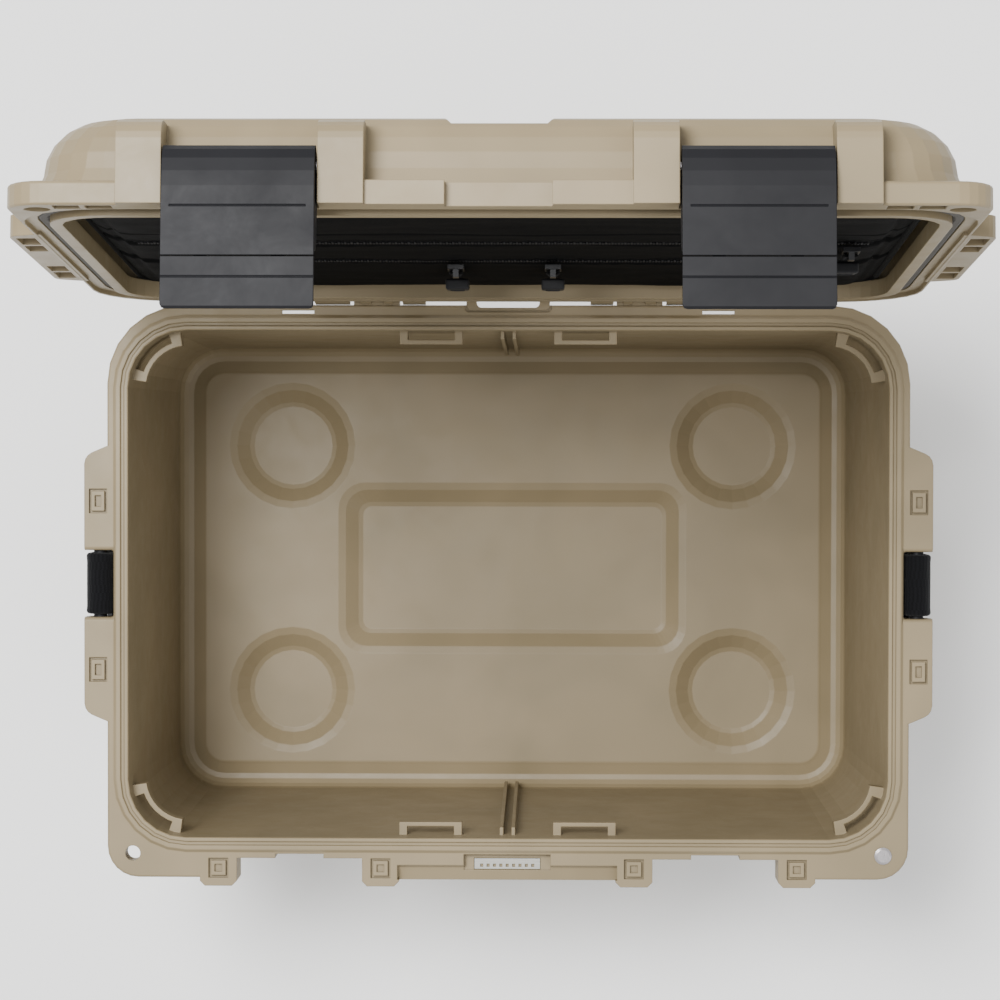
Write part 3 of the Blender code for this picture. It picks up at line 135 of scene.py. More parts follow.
def drawn_metal(name, light, dark, roughness, stretch, grain=0.3):
    """Drawn or rolled metal: fine marks run along the way it was pulled, so its shine comes in streaks.
    The grain is the marks' width in millimetres, and stretch draws them out along the piece."""
    finish, tree, shader, place = new_finish(name)
    pulled = add_node(tree, "ShaderNodeMapping", {"Vector": place, "Scale": stretch})
    marks = add_node(
        tree, "ShaderNodeTexNoise",
        {"Vector": pulled.outputs["Vector"], "Scale": 1 / (grain * MM), "Detail": 3.0, "Roughness": 0.6},
    )
    tone = add_node(
        tree, "ShaderNodeMix", {0: marks.outputs["Fac"], 6: linear(light), 7: linear(dark)}, data_type="RGBA"
    )
    tree.links.new(tone.outputs[2], shader.inputs["Base Color"])
    shader.inputs["Metallic"].default_value = 1.0
    uneven = add_node(
        tree, "ShaderNodeMapRange",
        {
            "Value": marks.outputs["Fac"], "From Min": 0.3, "From Max": 0.7,
            "To Min": roughness - 0.06, "To Max": roughness + 0.08,
        },
    )
    tree.links.new(uneven.outputs[0], shader.inputs["Roughness"])
    return finish


def foam_rubber(name, colour, pit_shade, cell):
    """Expanded rubber: open cells at the skin, a cell's width in millimetres, make it matt and pitted,
    with painted shade darkening the bottom of each pit.
    """
    pit_depth = 0.08 * MM
    finish, tree, shader, place = new_finish(name)
    cells = add_node(tree, "ShaderNodeTexVoronoi", {"Vector": place, "Scale": 1 / (cell * MM)})
    # Painted shade: the colour darkens towards the bottom of each pit, where the bump sinks.
    tone = add_node(
        tree, "ShaderNodeMix",
        {0: cells.outputs["Distance"], 6: linear(pit_shade), 7: linear(colour)}, data_type="RGBA",
    )
    tree.links.new(tone.outputs[2], shader.inputs["Base Color"])
    shader.inputs["Roughness"].default_value = 0.8
    pits = add_node(
        tree, "ShaderNodeBump", {"Height": cells.outputs["Distance"], "Distance": pit_depth, "Strength": 0.6}
    )
    tree.links.new(pits.outputs["Normal"], shader.inputs["Normal"])
    return finish


def woven_cloth(name, warp, weft, thread, relief, roughness, sheen, chevron=0.0):
    """Woven synthetic yarn, drawn from the piece's own flat measure in millimetres so the threads follow it.
    Plain weave: threads pass over and under by turns. With a chevron, the crossings step along to a twill.
    The threads are drawn coarser than real yarn, so that they show."""
    fibre_width, fuzz = 0.5 * MM, 0.4
    finish, tree, shader, place = new_finish(name)
    flat = add_node(tree, "ShaderNodeUVMap", uv_map="flat_mm")
    parts = add_node(tree, "ShaderNodeSeparateXYZ", {"Vector": flat.outputs["UV"]})
    along, across = parts.outputs["X"], parts.outputs["Y"]
    if chevron:
        fold = add_node(tree, "ShaderNodeMath", {0: across, 1: chevron}, operation="PINGPONG")
        along = add_node(tree, "ShaderNodeMath", {0: along, 1: fold.outputs[0]}, operation="ADD").outputs[0]
    waves = []
    for run in (along, across):
        phase = add_node(tree, "ShaderNodeMath", {0: run, 1: 2 * pi / thread}, operation="MULTIPLY")
        waves.append(add_node(tree, "ShaderNodeMath", {0: phase.outputs[0]}, operation="SINE").outputs[0])
    over = add_node(tree, "ShaderNodeMath", {0: waves[0], 1: waves[1]}, operation="MULTIPLY")
    weave = add_node(tree, "ShaderNodeMapRange", {"Value": over.outputs[0], "From Min": -1.0})
    yarn = add_node(
        tree, "ShaderNodeMix", {0: weave.outputs[0], 6: linear(warp), 7: linear(weft)}, data_type="RGBA"
    )
    tree.links.new(yarn.outputs[2], shader.inputs["Base Color"])
    fibre = add_node(
        tree, "ShaderNodeTexNoise",
        {"Vector": place, "Scale": 1 / fibre_width, "Detail": 3.0, "Roughness": 0.7},
    )
    uneven = add_node(
        tree, "ShaderNodeMapRange",
        {"Value": fibre.outputs["Fac"], "To Min": roughness - 0.08, "To Max": roughness + 0.08},
    )
    tree.links.new(uneven.outputs[0], shader.inputs["Roughness"])
    shader.inputs["Sheen Weight"].default_value = sheen
    shader.inputs["Specular IOR Level"].default_value = 0.06
    height = add_node(
        tree, "ShaderNodeMath",
        {0: fibre.outputs["Fac"], 1: fuzz, 2: weave.outputs[0]}, operation="MULTIPLY_ADD",
    )
    cloth = add_node(
        tree, "ShaderNodeBump", {"Height": height.outputs[0], "Distance": relief * MM, "Strength": 0.8}
    )
    tree.links.new(cloth.outputs["Normal"], shader.inputs["Normal"])
    return finish


# Polypropylene copolymer shells, moulded in a textured tool: a dull, even tan with a soft low sheen.
TAN_COPOLYMER = moulded_polymer(
    "moulded_tan_copolymer", "#84765B", "#7B6E54", roughness=0.46, edge=0.8, gloss=0.35
)
# Filled nylon latches, grips and handle pins, moulded finer: nearly black, with only a faint sheen.
CHARCOAL_NYLON = moulded_polymer(
    "moulded_charcoal_nylon", "#151518", "#101013",
    roughness=0.55, edge=0.5, texture=0.4, relief=0.02, gloss=0.2,
)
# Soft elastomer pulls and zip coils: black and matt, with a slightly deeper grain.
BLACK_ELASTOMER = moulded_polymer(
    "moulded_black_elastomer", "#0E0E10", "#0A0A0C",
    roughness=0.6, edge=0.5, texture=0.4, relief=0.03, gloss=0.3,
)
# Pressed polymer board and posts behind the cloth: dull, with the coarsest grain of the blacks.
BLACK_BOARD = moulded_polymer(
    "pressed_black_board", "#0F0F11", "#0B0B0D", roughness=0.7, edge=0.3, texture=0.8, relief=0.05
)
# Zip sliders under black lacquer: the lacquer is a polymer film, so they shine like one, smooth and dark.
ZIP_LACQUER = moulded_polymer(
    "lacquered_zip_metal", "#121214", "#0D0D0F", roughness=0.36, edge=0.3, texture=0.3, relief=0.01
)
# Turned stainless steel pins and rivet: bright, with fine streaks along the pin.
STAINLESS = drawn_metal(
    "turned_stainless_steel", "#C9C4C4", "#B9B4B4", roughness=0.28, stretch=(1.0, 0.05, 0.05)
)
# Rolled and anodised aluminium vent plate: a satin grey with broader, softer streaks.
VENT_PLATE = drawn_metal(
    "anodised_vent_plate", "#A9A8A2", "#8F8E88", roughness=0.5, stretch=(0.04, 1.0, 1.0), grain=0.5
)
# Expanded rubber gasket: a warm matt grey with fine open cells, their pits darkened with painted shade.
GREY_RUBBER = foam_rubber("expanded_grey_rubber", "#4A4640", "#2E2B27", cell=0.9)
# Foot pads of the same kind, near black, their cells drawn larger.
FOOT_RUBBER = foam_rubber("moulded_foot_rubber", "#161617", "#0E0E0F", cell=1.4)
# Polypropylene webbing woven in chevrons: thick ribs that catch a soft light on one slope.
WEBBING = woven_cloth(
    "woven_polypropylene_webbing", "#131315", "#080809",
    thread=2.0, relief=0.35, roughness=0.8, sheen=0.06, chevron=4.75,
)
# Fine polyester pocket cloth in plain weave: black and almost without shine.
POCKET_CLOTH = woven_cloth(
    "woven_polyester_pocket_cloth", "#080808", "#030303",
    thread=0.9, relief=0.12, roughness=0.85, sheen=0.0,
)
# Binding, zip tape, cord and thread in a narrow twill: a little lighter than the cloth, a trace of sheen.
BINDING_TAPE = woven_cloth(
    "woven_binding_tape", "#0A0A0A", "#050505",
    thread=1.2, relief=0.2, roughness=0.85, sheen=0.03, chevron=2.4,
)

FINISHES = {
    "tan_polymer": TAN_COPOLYMER,
    "charcoal_polymer": CHARCOAL_NYLON,
    "foot_rubber": FOOT_RUBBER,
    "vent_metal": VENT_PLATE,
    "steel": STAINLESS,
    "webbing": WEBBING,
    "gasket_foam": GREY_RUBBER,
    "organiser_fabric": POCKET_CLOTH,
    "board_polymer": BLACK_BOARD,
    "zip_tape": BINDING_TAPE,
    "zip_metal": ZIP_LACQUER,
    "pull_polymer": BLACK_ELASTOMER,
}
SLOT_OF = {part["node"]: part["material_slot"] for part in frame["record"]["subparts"]}
SOFT_ANGLE = radians(34)


def soften(mesh):
    """Let faces that meet at a small angle shade as one surface, the large ones leading."""
    lean = cos(SOFT_ANGLE)
    around = [[] for _ in mesh.vertices]
    for face in mesh.polygons:
        for corner in face.vertices:
            around[corner].append(face)
    normals = []
    for face in mesh.polygons:
        for corner in face.vertices:
            total = Vector()
            for other in around[corner]:
                if other.normal.dot(face.normal) > lean:
                    total += other.normal * other.area
            normals.append(total.normalized() if total.length else face.normal)
    mesh.shade_smooth()
    mesh.normals_split_custom_set(normals)


for node_name, thing in frame["nodes"].items():
    thing.data.materials.clear()
    thing.data.materials.append(FINISHES[SLOT_OF[node_name]])
    soften(thing.data)


# ---------------------------------------------------------------- making pieces

def keep(bm, name, body, finish):
    """A finished piece from a bmesh in metres, riding on its body."""
    mesh = bpy.data.meshes.new(name)
    bmesh.ops.recalc_face_normals(bm, faces=bm.faces)
    bm.to_mesh(mesh)
    bm.free()
    piece = bpy.data.objects.new(name, mesh)
    bpy.context.scene.collection.objects.link(piece)
    mesh.materials.append(finish)
    mesh.shade_smooth()
    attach(piece, body)
    return piece


def on_lid(x, reach, height):
    """A point on the open lid: x, its reach from the hinge pins and its height above them when shut."""
    y = -reach * cos(OPEN_ANGLE) + height * sin(OPEN_ANGLE)
    z = reach * sin(OPEN_ANGLE) + height * cos(OPEN_ANGLE)
    return Vector((x * MM, HINGE.y + y * MM, HINGE.z + z * MM))


def lid_measure(point):
    """The reach and height on the lid of a point in space, in millimetres."""
    y, z = (point.y - HINGE.y) / MM, (point.z - HINGE.z) / MM
    return -y * cos(OPEN_ANGLE) + z * sin(OPEN_ANGLE), y * sin(OPEN_ANGLE) + z * cos(OPEN_ANGLE)


def patch(bm, columns, rows, point, flat, closed=False):
    """A grid of faces over two lists of stations, with its flat measure kept as a UV map."""
    layer = bm.loops.layers.uv.get("flat_mm") or bm.loops.layers.uv.new("flat_mm")
    grid = [[bm.verts.new(point(a, b)) for b in rows] for a in columns]
    last = len(columns) if closed else len(columns) - 1
    for i in range(last):
        n = (i + 1) % len(columns)
        for j in range(len(rows) - 1):
            face = bm.faces.new((grid[i][j], grid[n][j], grid[n][j + 1], grid[i][j + 1]))
            ends = ((i, j), (i + 1, j), (i + 1, j + 1), (i, j + 1))
            for loop, (a, b) in zip(face.loops, ends):
                loop[layer].uv = flat(a, b)


def stations(low, high, step):
    """Evenly spaced values from low to high, about a step apart."""
    count = max(2, round((high - low) / step))
    return [low + (high - low) * k / count for k in range(count + 1)]


def half_turn(start, steps):
    """Angles from a start through half a circle."""
    return [start + pi * k / steps for k in range(steps + 1)]


def round_ring(bm, centre, across, lift, radius, sides, swell=1.0):
    """A ring of points round a centre."""
    ring = []
    for k in range(sides):
        turn = 2 * pi * k / sides
        ring.append(bm.verts.new(centre + (across * cos(turn) + lift * sin(turn)) * radius * swell))
    return ring


def skin_rings(bm, rings):
    """A skin over rings of points, closed at both ends."""
    sides = len(rings[0])
    for first, second in zip(rings, rings[1:]):
        for k in range(sides):
            n = (k + 1) % sides
            bm.faces.new((first[k], first[n], second[n], second[k]))
    bm.faces.new(rings[0])
    bm.faces.new(rings[-1])


# Where a bar's rings stand along it, and how thick it is there as a share of its full thickness.
BAR_RINGS = ((0.0, 0.45), (0.18, 1.0), (0.82, 1.0), (1.0, 0.45))
BAR_SIDES = 6


def bar(bm, ends, half, up):
    """A round-ended stitch, rib or coil turn between two points."""
    first, second = ends
    axis = (second - first).normalized()
    across = axis.cross(up).normalized()
    lift = across.cross(axis)
    rings = []
    for share, swell in BAR_RINGS:
        rings.append(round_ring(bm, first.lerp(second, share), across, lift, half, BAR_SIDES, swell))
    skin_rings(bm, rings)


# ---------------------------------------------------------------- lid organiser

PANEL_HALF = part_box("organiser_panel")[1].x / MM
CORNERS = [lid_measure(v.co) for v in frame["nodes"]["organiser_panel"].data.vertices]
PANEL_NEAR = min(reach for reach, _ in CORNERS)
PANEL_FAR = max(reach for reach, _ in CORNERS)
PANEL_FACE = min(height for _, height in CORNERS)
PANEL_BACK = max(height for _, height in CORNERS)
PANEL_MIDDLE = (PANEL_NEAR + PANEL_FAR) / 2
REACH_HALF = (PANEL_FAR - PANEL_NEAR) / 2
PANEL_CORNER = 24.0
SEAM_INSET = 13.0


def zip_reach(name):
    """The middle of a zip tape, as its reach from the hinge pins."""
    reaches = [lid_measure(v.co)[0] for v in frame["nodes"][name].data.vertices]
    return (min(reaches) + max(reaches)) / 2


LOWER_ZIP = zip_reach("zip_tape_lower")
UPPER_ZIP = zip_reach("zip_tape_upper")
WELT = 5.5
TOP_SEAM = UPPER_ZIP + 30.0


def beside_zips(offset):
    """The four lines beside the zips, each an offset outside its welt."""
    return [middle + side * WELT + side * offset for middle in (LOWER_ZIP, UPPER_ZIP) for side in (-1, 1)]


# The cloth rolls back over the board within the first, and stops short of its back by the second.
EDGE_ROLL = 24.0
BOARD_MARGIN = 2.0
# Slack in the cloth: its waves' width and length, the layer of noise they are cut from, and their depth.
SLACK_WAVES = ((70.0, 26.0, 3.0, 1.5), (24.0, 12.0, 8.0, 0.5))
SLACK_SHARE = 0.7
CLOTH_SINK = 0.5
# Seams: how deep the thread draws the cloth in, and how wide the dip is.
ROUND_SEAM = (1.5, 3.0)
ZIP_SEAM = (0.9, 1.8)
HEM_SEAM = (1.1, 2.4)
ZIP_FOLDS = beside_zips(2.2)
# Puckers beside the zips: their depth, their spread from the seam and the length that sets their pitch.
PUCKER = (0.22, 9.0, 2.1)
# The cloth drops away to the zips by the first, over the second.
ZIP_WELL = (1.6, 1.2)


def edge_distance(x, reach):
    """How far a point of the panel is inside its rounded outline."""
    dx = abs(x) - (PANEL_HALF - PANEL_CORNER)
    dy = abs(reach - PANEL_MIDDLE) - (REACH_HALF - PANEL_CORNER)
    outside = Vector((max(dx, 0.0), max(dy, 0.0), 0.0)).length
    return PANEL_CORNER - outside - min(max(dx, dy), 0.0)


def dip(distance, width):
    """One at a seam, falling to nothing a width away."""
    t = min(abs(distance) / width, 1.0)
    return (1 - t) ** 2 * (1 + 2 * t)


def panel_height(x, reach):
    """The cloth's height: stretched over its padding, drawn in at seams, puckered beside them."""
    inside = edge_distance(x, reach)
    roll = min(max(inside / EDGE_ROLL, 0.0), 1.0)
    crown = sin(roll * pi / 2) ** 0.8
    height = PANEL_FACE + (1 - crown) * (PANEL_BACK - PANEL_FACE - BOARD_MARGIN)
    slack = 0.0
    for width, length, layer, depth in SLACK_WAVES:
        slack += noise.noise(Vector((x / width, reach / length, layer))) * depth
    height += slack * roll * SLACK_SHARE + CLOTH_SINK
    depth, width = ROUND_SEAM
    height += depth * dip(inside - SEAM_INSET, width)
    depth, width = ZIP_SEAM
    pucker_depth, spread, pitch = PUCKER
    for seam in ZIP_FOLDS:
        height += depth * dip(reach - seam, width)
        gather = sin(x / pitch + 2.0 * noise.noise(Vector((x / 30.0, seam, 0.0))))
        height += pucker_depth * gather * dip(reach - seam, spread)
    depth, width = HEM_SEAM
    height += depth * dip(reach - TOP_SEAM, width)
    depth, slope = ZIP_WELL
    for zip_line in (LOWER_ZIP, UPPER_ZIP):
        if abs(reach - zip_line) < WELT:
            height += depth * min((WELT - abs(reach - zip_line)) / slope, 1.0)
    return height


def organiser_face():
    """The pocket cloth: a padded, seamed face that rolls back over the board at its edge."""
    bm = bmesh.new()
    layer = bm.loops.layers.uv.new("flat_mm")
    columns = stations(-PANEL_HALF, PANEL_HALF, 2.0)
    rows = stations(PANEL_NEAR, PANEL_FAR, 1.25)
    overhang = 1.0
    verts = {}
    for i, x in enumerate(columns):
        for j, reach in enumerate(rows):
            if edge_distance(x, reach) > -overhang:
                verts[i, j] = bm.verts.new(on_lid(x, reach, panel_height(x, reach)))
    for i in range(len(columns) - 1):
        for j in range(len(rows) - 1):
            corners = ((i, j), (i + 1, j), (i + 1, j + 1), (i, j + 1))
            if all(corner in verts for corner in corners):
                face = bm.faces.new([verts[corner] for corner in corners])
                for loop, (column, row) in zip(face.loops, corners):
                    loop[layer].uv = (columns[column], rows[row])
    return keep(bm, "organiser_pocket_cloth", "lid", POCKET_CLOTH)


def outline_point(distance, inset):
    """A point a distance along the panel's rounded outline, moved inwards."""
    radius = PANEL_CORNER - inset
    half_x = PANEL_HALF - PANEL_CORNER
    half_y = REACH_HALF - PANEL_CORNER
    bend = pi / 2 * radius
    lengths = (2 * half_y, bend, 2 * half_x, bend, 2 * half_y, bend, 2 * half_x, bend)
    distance %= sum(lengths)
    centres = ((half_x, half_y), (-half_x, half_y), (-half_x, -half_y), (half_x, -half_y))
    for k, length in enumerate(lengths):
        if distance <= length:
            break
        distance -= length
    quarter = k // 2
    turn = quarter * pi / 2
    cx, cy = centres[quarter]
    if k % 2:
        turn += distance / radius
        return cx + radius * cos(turn), PANEL_MIDDLE + cy + radius * sin(turn)
    back = length - distance
    x = cx + radius * cos(turn) + back * sin(turn)
    return x, PANEL_MIDDLE + cy + radius * sin(turn) - back * cos(turn)


def outline_length(inset):
    """The length of the panel's rounded outline, moved inwards."""
    straights = PANEL_HALF + REACH_HALF - 2 * PANEL_CORNER
    return 4 * straights + 2 * pi * (PANEL_CORNER - inset)


# The binding is rolled round the edge: its line inside the outline, and half its width and its thickness.
BINDING_LINE = 1.8
BINDING_HALF = 2.1
BINDING_RISE = 2.4
BINDING_SINK = 3.0
BINDING_STEP = 4.0
# The line its length is measured on, the line it leans out from, and the cloth between its rows of faces.
BINDING_MEASURE = 1.5
BINDING_ROOT = 4.0
BINDING_ROW = 0.8


def organiser_binding():
    """A rolled tape bound round the edge of the cloth."""
    bm = bmesh.new()
    columns = stations(0.0, outline_length(BINDING_MEASURE), BINDING_STEP)[:-1]
    turns = [pi * k / 8 for k in range(17)]

    def point(distance, turn):
        x, reach = outline_point(distance, BINDING_LINE)
        cx, cy = outline_point(distance, BINDING_ROOT)
        out = Vector((x - cx, reach - cy, 0.0)).normalized()
        across = BINDING_HALF * cos(turn)
        height = PANEL_BACK - BINDING_SINK + BINDING_RISE * sin(turn)
        return on_lid(x + out.x * across, reach + out.y * across, height)

    patch(bm, columns, turns, point, lambda i, j: (i * BINDING_STEP, j * BINDING_ROW), closed=True)
    return keep(bm, "organiser_edge_binding", "lid", BINDING_TAPE)


def stitch_line(bm, points, up, pitch=3.4, share=0.68, half=0.33):
    """Lock stitches along a line of points; each fills a share of its pitch."""
    for first, second in zip(points, points[1:]):
        gap = second - first
        count = max(1, round(gap.length / MM / pitch))
        for k in range(count):
            start = first + gap * ((k + 0.16) / count)
            bar(bm, (start, start + gap * (share / count)), half * MM, up)


def organiser_stitching():
    """Thread along every seam of the cloth."""
    bm = bmesh.new()
    out = on_lid(0, 0, -1) - on_lid(0, 0, 0)
    thread_proud, step, end_gap = 0.15, 7.0, 4.0
    for seam in (*beside_zips(1.8), TOP_SEAM):
        reach = PANEL_HALF - SEAM_INSET - end_gap
        line = [on_lid(x, seam, panel_height(x, seam) - thread_proud) for x in stations(-reach, reach, step)]
        stitch_line(bm, line, out)
    count = int(outline_length(SEAM_INSET) / step)
    ring = []
    for k in range(count + 1):
        x, reach = outline_point(outline_length(SEAM_INSET) * k / count, SEAM_INSET)
        ring.append(on_lid(x, reach, panel_height(x, reach) - thread_proud))
    stitch_line(bm, ring, out)
    return keep(bm, "organiser_seam_stitching", "lid", BINDING_TAPE)


# Zip tape: how deep it lies, the length of its faces, where its cloth starts and turns, how far its lip
# stands up, how far it runs under the welt, and the cloth between its rows of faces.
TAPE_DEPTH = 1.6
TAPE_STEP = 4.0
TAPE_EDGES = (1.2, 2.4)
TAPE_LIP = 0.5
TAPE_UNDER = 0.8
TAPE_ROW = 2.4
# Zip coil: how far it stops short of the tape's ends, its pitch, the radius of its wire, how far each turn
# reaches back and over the middle, and how far its ends stand above the tape.
COIL_SHORT = 3
COIL_PITCH = 1.7
COIL_WIRE = 0.72
COIL_BACK = 2.6
COIL_OVER = 1.5
COIL_STAND = (0.6, 0.9)


def zip_chain(label, reach, half):
    """A coil zip: two woven tape edges and the row of interlocked coil turns between them."""
    bm = bmesh.new()
    base = PANEL_FACE + TAPE_DEPTH
    columns = stations(-half, half, TAPE_STEP)
    step = columns[1] - columns[0]
    rows = [*TAPE_EDGES, WELT + TAPE_UNDER]
    for side in (-1, 1):

        def point(x, offset):
            lift = TAPE_LIP if offset < TAPE_EDGES[1] else 0.0
            return on_lid(x, reach + side * offset, base - lift)

        patch(bm, columns, rows, point, lambda i, j: (i * step, j * TAPE_ROW))
    tape = keep(bm, f"zip_tape_cloth_{label}", "lid", BINDING_TAPE)
    tape_box = f"zip_tape_{label}"
    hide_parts(tape_box)
    coil = bmesh.new()
    out = on_lid(0, 0, -1) - on_lid(0, 0, 0)
    for k, x in enumerate(stations(-half + COIL_SHORT, half - COIL_SHORT, COIL_PITCH)):
        side = 1 if k % 2 else -1
        start = on_lid(x, reach + side * COIL_BACK, base - COIL_STAND[0])
        end = on_lid(x, reach - side * COIL_OVER, base - COIL_STAND[1])
        bar(coil, (start, end), COIL_WIRE * MM, out)
    keep(coil, f"zip_coil_{label}", "lid", BLACK_ELASTOMER)


# Zip pulls: the cord arches over the slider's bridge, its legs lean together and end inside the tab.
CORD_RADIUS = 1.0
CORD_SIDES = 10
CORD_SPREAD = 3.0
CORD_RISE = 1.6
CORD_SEAT = 1.0
CORD_LEAN = 1.4
CORD_BURIED = 0.5
TAB_LENGTH = 20
TAB_DEPTH = 6.0
TAB_EDGE = 1.4
RIB_COUNT = 4
RIB_START = 4.5
RIB_PITCH = 3.4
RIB_RADIUS = 0.55
RIB_SHARE = 0.64


def cord_leg(side, drop):
    """One leg of a pull's cord, from the arch down, beside the slider's eye."""
    points = []
    for share in (0.25, 0.5, 0.75, 1.0):
        x = side * (CORD_SPREAD - CORD_LEAN * share)
        points.append(Vector((x, 0.0, -CORD_SEAT - (drop + CORD_BURIED) * share)) * MM)
    return points


def cord_loop_and_tab(label):
    """A zip pull: a doubled cord through the slider's bridge, its ends moulded into a ribbed tab."""
    body = f"zip_pull_{label}"
    eye = Vector(JOINTS[body]["pos_m"])
    low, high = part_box(body)
    tab_top = low.z + TAB_LENGTH * MM
    bm = bmesh.new()
    arch = []
    for turn in half_turn(0.0, 8):
        arch.append(Vector((CORD_SPREAD * cos(turn), 0.0, CORD_RISE * sin(turn) - CORD_SEAT)) * MM)
    drop = (eye.z - tab_top) / MM
    line = cord_leg(1, drop)[::-1] + arch + cord_leg(-1, drop)
    lift = Vector((0.0, 1.0, 0.0))
    rings = []
    for k, centre in enumerate(line):
        before, after = line[max(k - 1, 0)], line[min(k + 1, len(line) - 1)]
        across = (after - before).normalized().cross(lift)
        rings.append(round_ring(bm, eye + centre, across, lift, CORD_RADIUS * MM, CORD_SIDES))
    skin_rings(bm, rings)
    cord = keep(bm, f"pull_cord_{label}", body, BINDING_TAPE)
    cord.data.uv_layers.new(name="flat_mm")
    tab = bmesh.new()
    bmesh.ops.create_cube(tab, size=1.0)
    centre = Vector((eye.x, (low.y + high.y) / 2, (low.z + tab_top) / 2))
    width, depth = (high.x - low.x), TAB_DEPTH * MM
    bmesh.ops.scale(tab, vec=(width, depth, tab_top - low.z), verts=tab.verts)
    bmesh.ops.bevel(
        tab, geom=tab.edges[:], offset=TAB_EDGE * MM, segments=3, profile=0.6,
        affect="EDGES", offset_type="OFFSET",
    )
    bmesh.ops.translate(tab, vec=centre, verts=tab.verts)
    for k in range(RIB_COUNT):
        z = low.z + (RIB_START + RIB_PITCH * k) * MM
        for side in (-1, 1):
            start = Vector((eye.x - width * RIB_SHARE / 2, centre.y + side * depth / 2, z))
            end = start + Vector((width * RIB_SHARE, 0, 0))
            bar(tab, (start, end), RIB_RADIUS * MM, Vector((0, side, 0)))
    moulded = keep(tab, f"pull_tab_{label}", body, BLACK_ELASTOMER)
    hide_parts(body)


cloth = organiser_face()
binding = organiser_binding()
stitches = organiser_stitching()
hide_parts("organiser_panel")
# The cloth is cut as wide and as long as the panel, plus the little that its padding takes up.
zip_chain("lower", LOWER_ZIP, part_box("zip_tape_lower")[1].x / MM)
zip_chain("upper", UPPER_ZIP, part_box("zip_tape_upper")[1].x / MM)
for label in ("left", "right", "upper"):
    cord_loop_and_tab(label)


# ---------------------------------------------------------------- side handles

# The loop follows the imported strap, which is this thick, a small gap inside its faces. The webbing drawn
# along it is slightly narrower and thinner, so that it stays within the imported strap.
STRAP_THICK = 4.0
STRAP_GAP = 0.15
FOOT_RADIUS = 3.5
WEBBING_WIDTH = 37.4
WEBBING_THICK = 3.9
# Across the webbing: the selvedges swell, the face beside them and the middle are a little thinner.
SELVEDGE = 1.06
FACE_INSET = 5.0
FACE_SHARE = 0.93
MIDDLE_SHARE = 0.95
# Stitching on the outer leg: its rows, its height on the webbing, and where it starts and stops.
STITCH_ROWS = (-15.5, -12.5, 12.5, 15.5)
STITCH_LIFT = 1.9
STITCH_FOOT = 34
STITCH_TOP = 22
OUTER_LEG = 7


def strap_path(side):
    """The middle line of the webbing loop, seen from the front."""
    low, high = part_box("handle_strap_right" if side > 0 else "handle_strap_left")
    pin = Vector(JOINTS["handle_right" if side > 0 else "handle_left"]["pos_m"])
    thick, gap, foot_radius = STRAP_THICK * MM, STRAP_GAP * MM, FOOT_RADIUS * MM
    radius = high.z - pin.z - thick / 2 - gap
    inner = min(abs(low.x), abs(high.x))
    foot_x = inner + thick / 2 + gap + foot_radius
    foot = Vector((foot_x, 0.0, low.z + thick / 2 + gap + foot_radius))
    top = Vector((abs(pin.x), 0.0, pin.z))
    points = []
    for turn in half_turn(0.0, 12):
        points.append(top + Vector((radius * cos(turn), 0.0, radius * sin(turn))))
    legs = list(reversed(stations(foot.z, top.z, 6 * MM)))[1:-1]
    points += [Vector((top.x - radius, 0.0, z)) for z in legs]
    for turn in half_turn(pi, 12):
        points.append(foot + Vector((foot_radius * cos(turn), 0.0, foot_radius * sin(turn))))
    start, end = foot.x + foot_radius, top.x + radius
    for z in reversed(legs):
        share = (z - foot.z) / (top.z - foot.z)
        points.append(Vector((start + (end - start) * share, 0.0, z)))
    return [Vector((side * p.x, pin.y, p.z)) for p in points]


def strap_section(width, thick):
    """Across the webbing: flat faces and rolled selvedges, slightly thicker than the middle."""
    half, rim = width / 2, thick / 2
    points = []
    for turn in half_turn(-pi / 2, 6):
        points.append((half - rim + rim * cos(turn), SELVEDGE * rim * sin(turn)))
    inset = FACE_INSET * MM
    face = [(half - inset, FACE_SHARE * rim), (0.0, rim * MIDDLE_SHARE), (-half + inset, FACE_SHARE * rim)]
    points += face
    for turn in half_turn(pi / 2, 6):
        points.append((-half + rim + rim * cos(turn), SELVEDGE * rim * sin(turn)))
    points += [(a, -b) for a, b in reversed(face)]
    return points


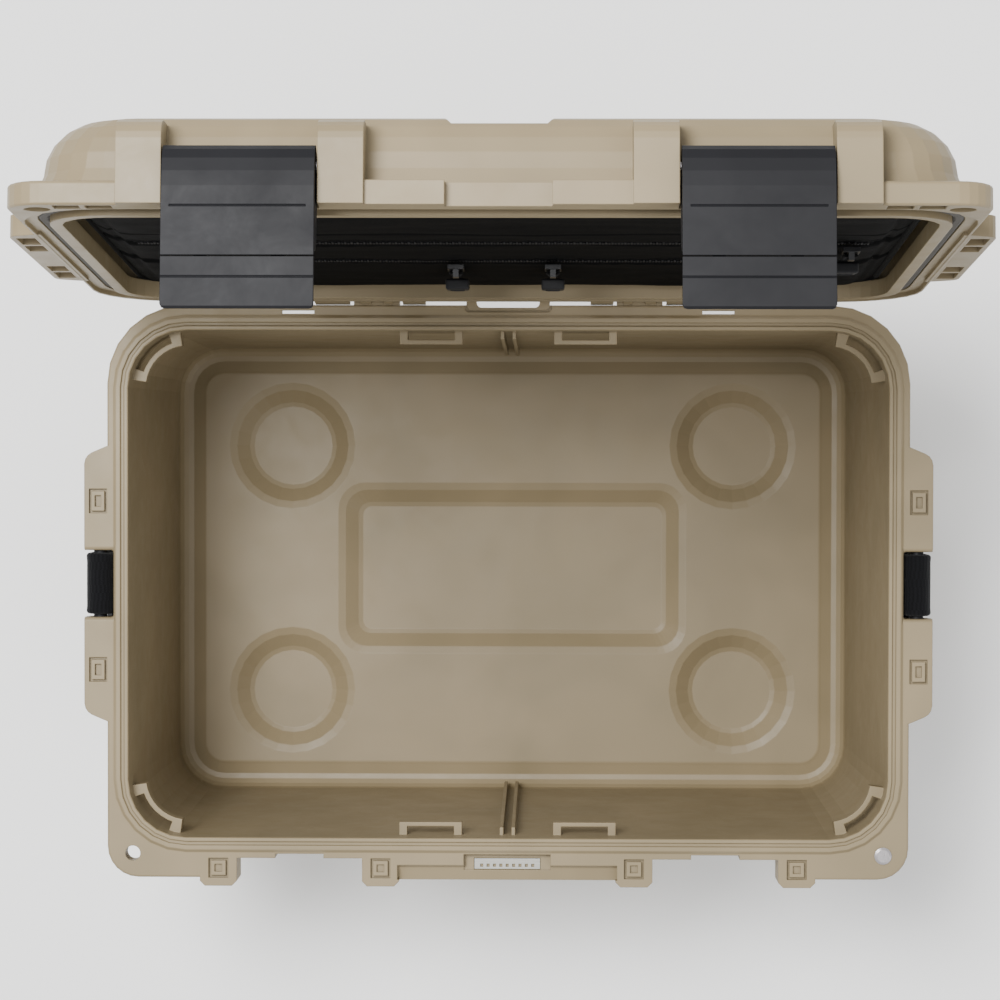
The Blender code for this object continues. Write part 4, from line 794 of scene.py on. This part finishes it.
def webbing_loop(label, side):
    """A handle's loop of webbing, its yarn following the loop, and the stitching on its outer leg."""
    path = strap_path(side)
    section = strap_section(WEBBING_WIDTH * MM, WEBBING_THICK * MM)
    bm = bmesh.new()
    layer = bm.loops.layers.uv.new("flat_mm")
    run = [0.0]
    for first, second in zip(path, path[1:] + path[:1]):
        run.append(run[-1] + (second - first).length / MM)
    around = [0.0]
    for (a, b), (c, d) in zip(section, section[1:] + section[:1]):
        around.append(around[-1] + ((c - a) ** 2 + (d - b) ** 2) ** 0.5 / MM)
    across = Vector((0.0, 1.0, 0.0))
    rings = []
    for k, centre in enumerate(path):
        axis = (path[(k + 1) % len(path)] - path[k - 1]).normalized()
        out = across.cross(axis)
        rings.append([bm.verts.new(centre + across * a + out * b) for a, b in section])
    for k, ring in enumerate(rings):
        following = rings[(k + 1) % len(rings)]
        for j in range(len(section)):
            m = (j + 1) % len(section)
            face = bm.faces.new((ring[j], following[j], following[m], ring[m]))
            flats = ((k, j), (k + 1, j), (k + 1, j + 1), (k, j + 1))
            for loop, (a, b) in zip(face.loops, flats):
                loop[layer].uv = (run[a], around[b])
    strap = keep(bm, f"handle_webbing_{label}", f"handle_{label}", WEBBING)
    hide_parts(f"handle_strap_{label}")
    thread = bmesh.new()
    bottom = min(p.z for p in path) + STITCH_FOOT * MM
    top = max(p.z for p in path) - STITCH_TOP * MM
    outer_leg = [p for p in path if bottom < p.z < top and abs(p.x) > abs(path[0].x) - OUTER_LEG * MM]
    for offset in STITCH_ROWS:
        line = [Vector((p.x + side * STITCH_LIFT * MM, p.y + offset * MM, p.z)) for p in outer_leg]
        if len(line) > 1:
            stitch_line(thread, line, Vector((side, 0, 0)), pitch=3.0, share=0.7, half=0.4)
    keep(thread, f"handle_stitching_{label}", f"handle_{label}", BINDING_TAPE)


webbing_loop("left", -1)
webbing_loop("right", 1)


# ---------------------------------------------------------------- floor, light and camera

def backdrop():
    """A plain pale floor that the case stands on."""
    bm = bmesh.new()
    bmesh.ops.create_grid(bm, x_segments=1, y_segments=1, size=6.0)
    mesh = bpy.data.meshes.new("studio_floor")
    bm.to_mesh(mesh)
    bm.free()
    floor = bpy.data.objects.new("studio_floor", mesh)
    bpy.context.scene.collection.objects.link(floor)
    finish, _, shader, _ = new_finish("matt_white_floor")
    shader.inputs["Base Color"].default_value = linear("#FAFAF9")
    shader.inputs["Roughness"].default_value = 0.9
    mesh.materials.append(finish)


def softbox(name, place, size, power):
    """A white rectangular lamp, in metres and watts, turned to the middle of the case."""
    middle = Vector((0.0, 0.0, 0.2))
    lamp = bpy.data.lights.new(name, "AREA")
    lamp.shape = "RECTANGLE"
    lamp.size, lamp.size_y = size
    lamp.energy = power
    made = bpy.data.objects.new(name, lamp)
    made.location = place
    made.rotation_euler = (middle - Vector(place)).to_track_quat("-Z", "Y").to_euler()
    bpy.context.scene.collection.objects.link(made)


def studio():
    """The floor, one strong lamp high behind the case, a weak wide one in front, and an even sky."""
    backdrop()
    softbox("overhead_softbox", place=(-0.7, 0.65, 2.8), size=(1.0, 1.0), power=125)
    softbox("fill_softbox", place=(1.6, -1.2, 2.4), size=(2.0, 2.0), power=18)
    world = bpy.data.worlds.new("studio_air")
    bpy.context.scene.world = world
    world.use_nodes = True
    air = world.node_tree.nodes["Background"]
    air.inputs["Color"].default_value = linear("#F7F8FA")
    air.inputs["Strength"].default_value = 1.0


def camera():
    """High above the open case, looking almost straight down."""
    lens = bpy.data.cameras.new("camera")
    lens.lens = 110.72
    lens.sensor_width = 36.0
    lens.clip_end = 20.0
    made = bpy.data.objects.new("camera", lens)
    hinge_behind_mouth = 0.177
    right, back, height = 0.0249, 0.0931, 2.1113
    made.location = (right, HINGE.y - hinge_behind_mouth + back, height)
    made.rotation_euler = (radians(-1.273), radians(0.911), radians(0.103))
    bpy.context.scene.collection.objects.link(made)
    bpy.context.scene.camera = made


studio()
camera()
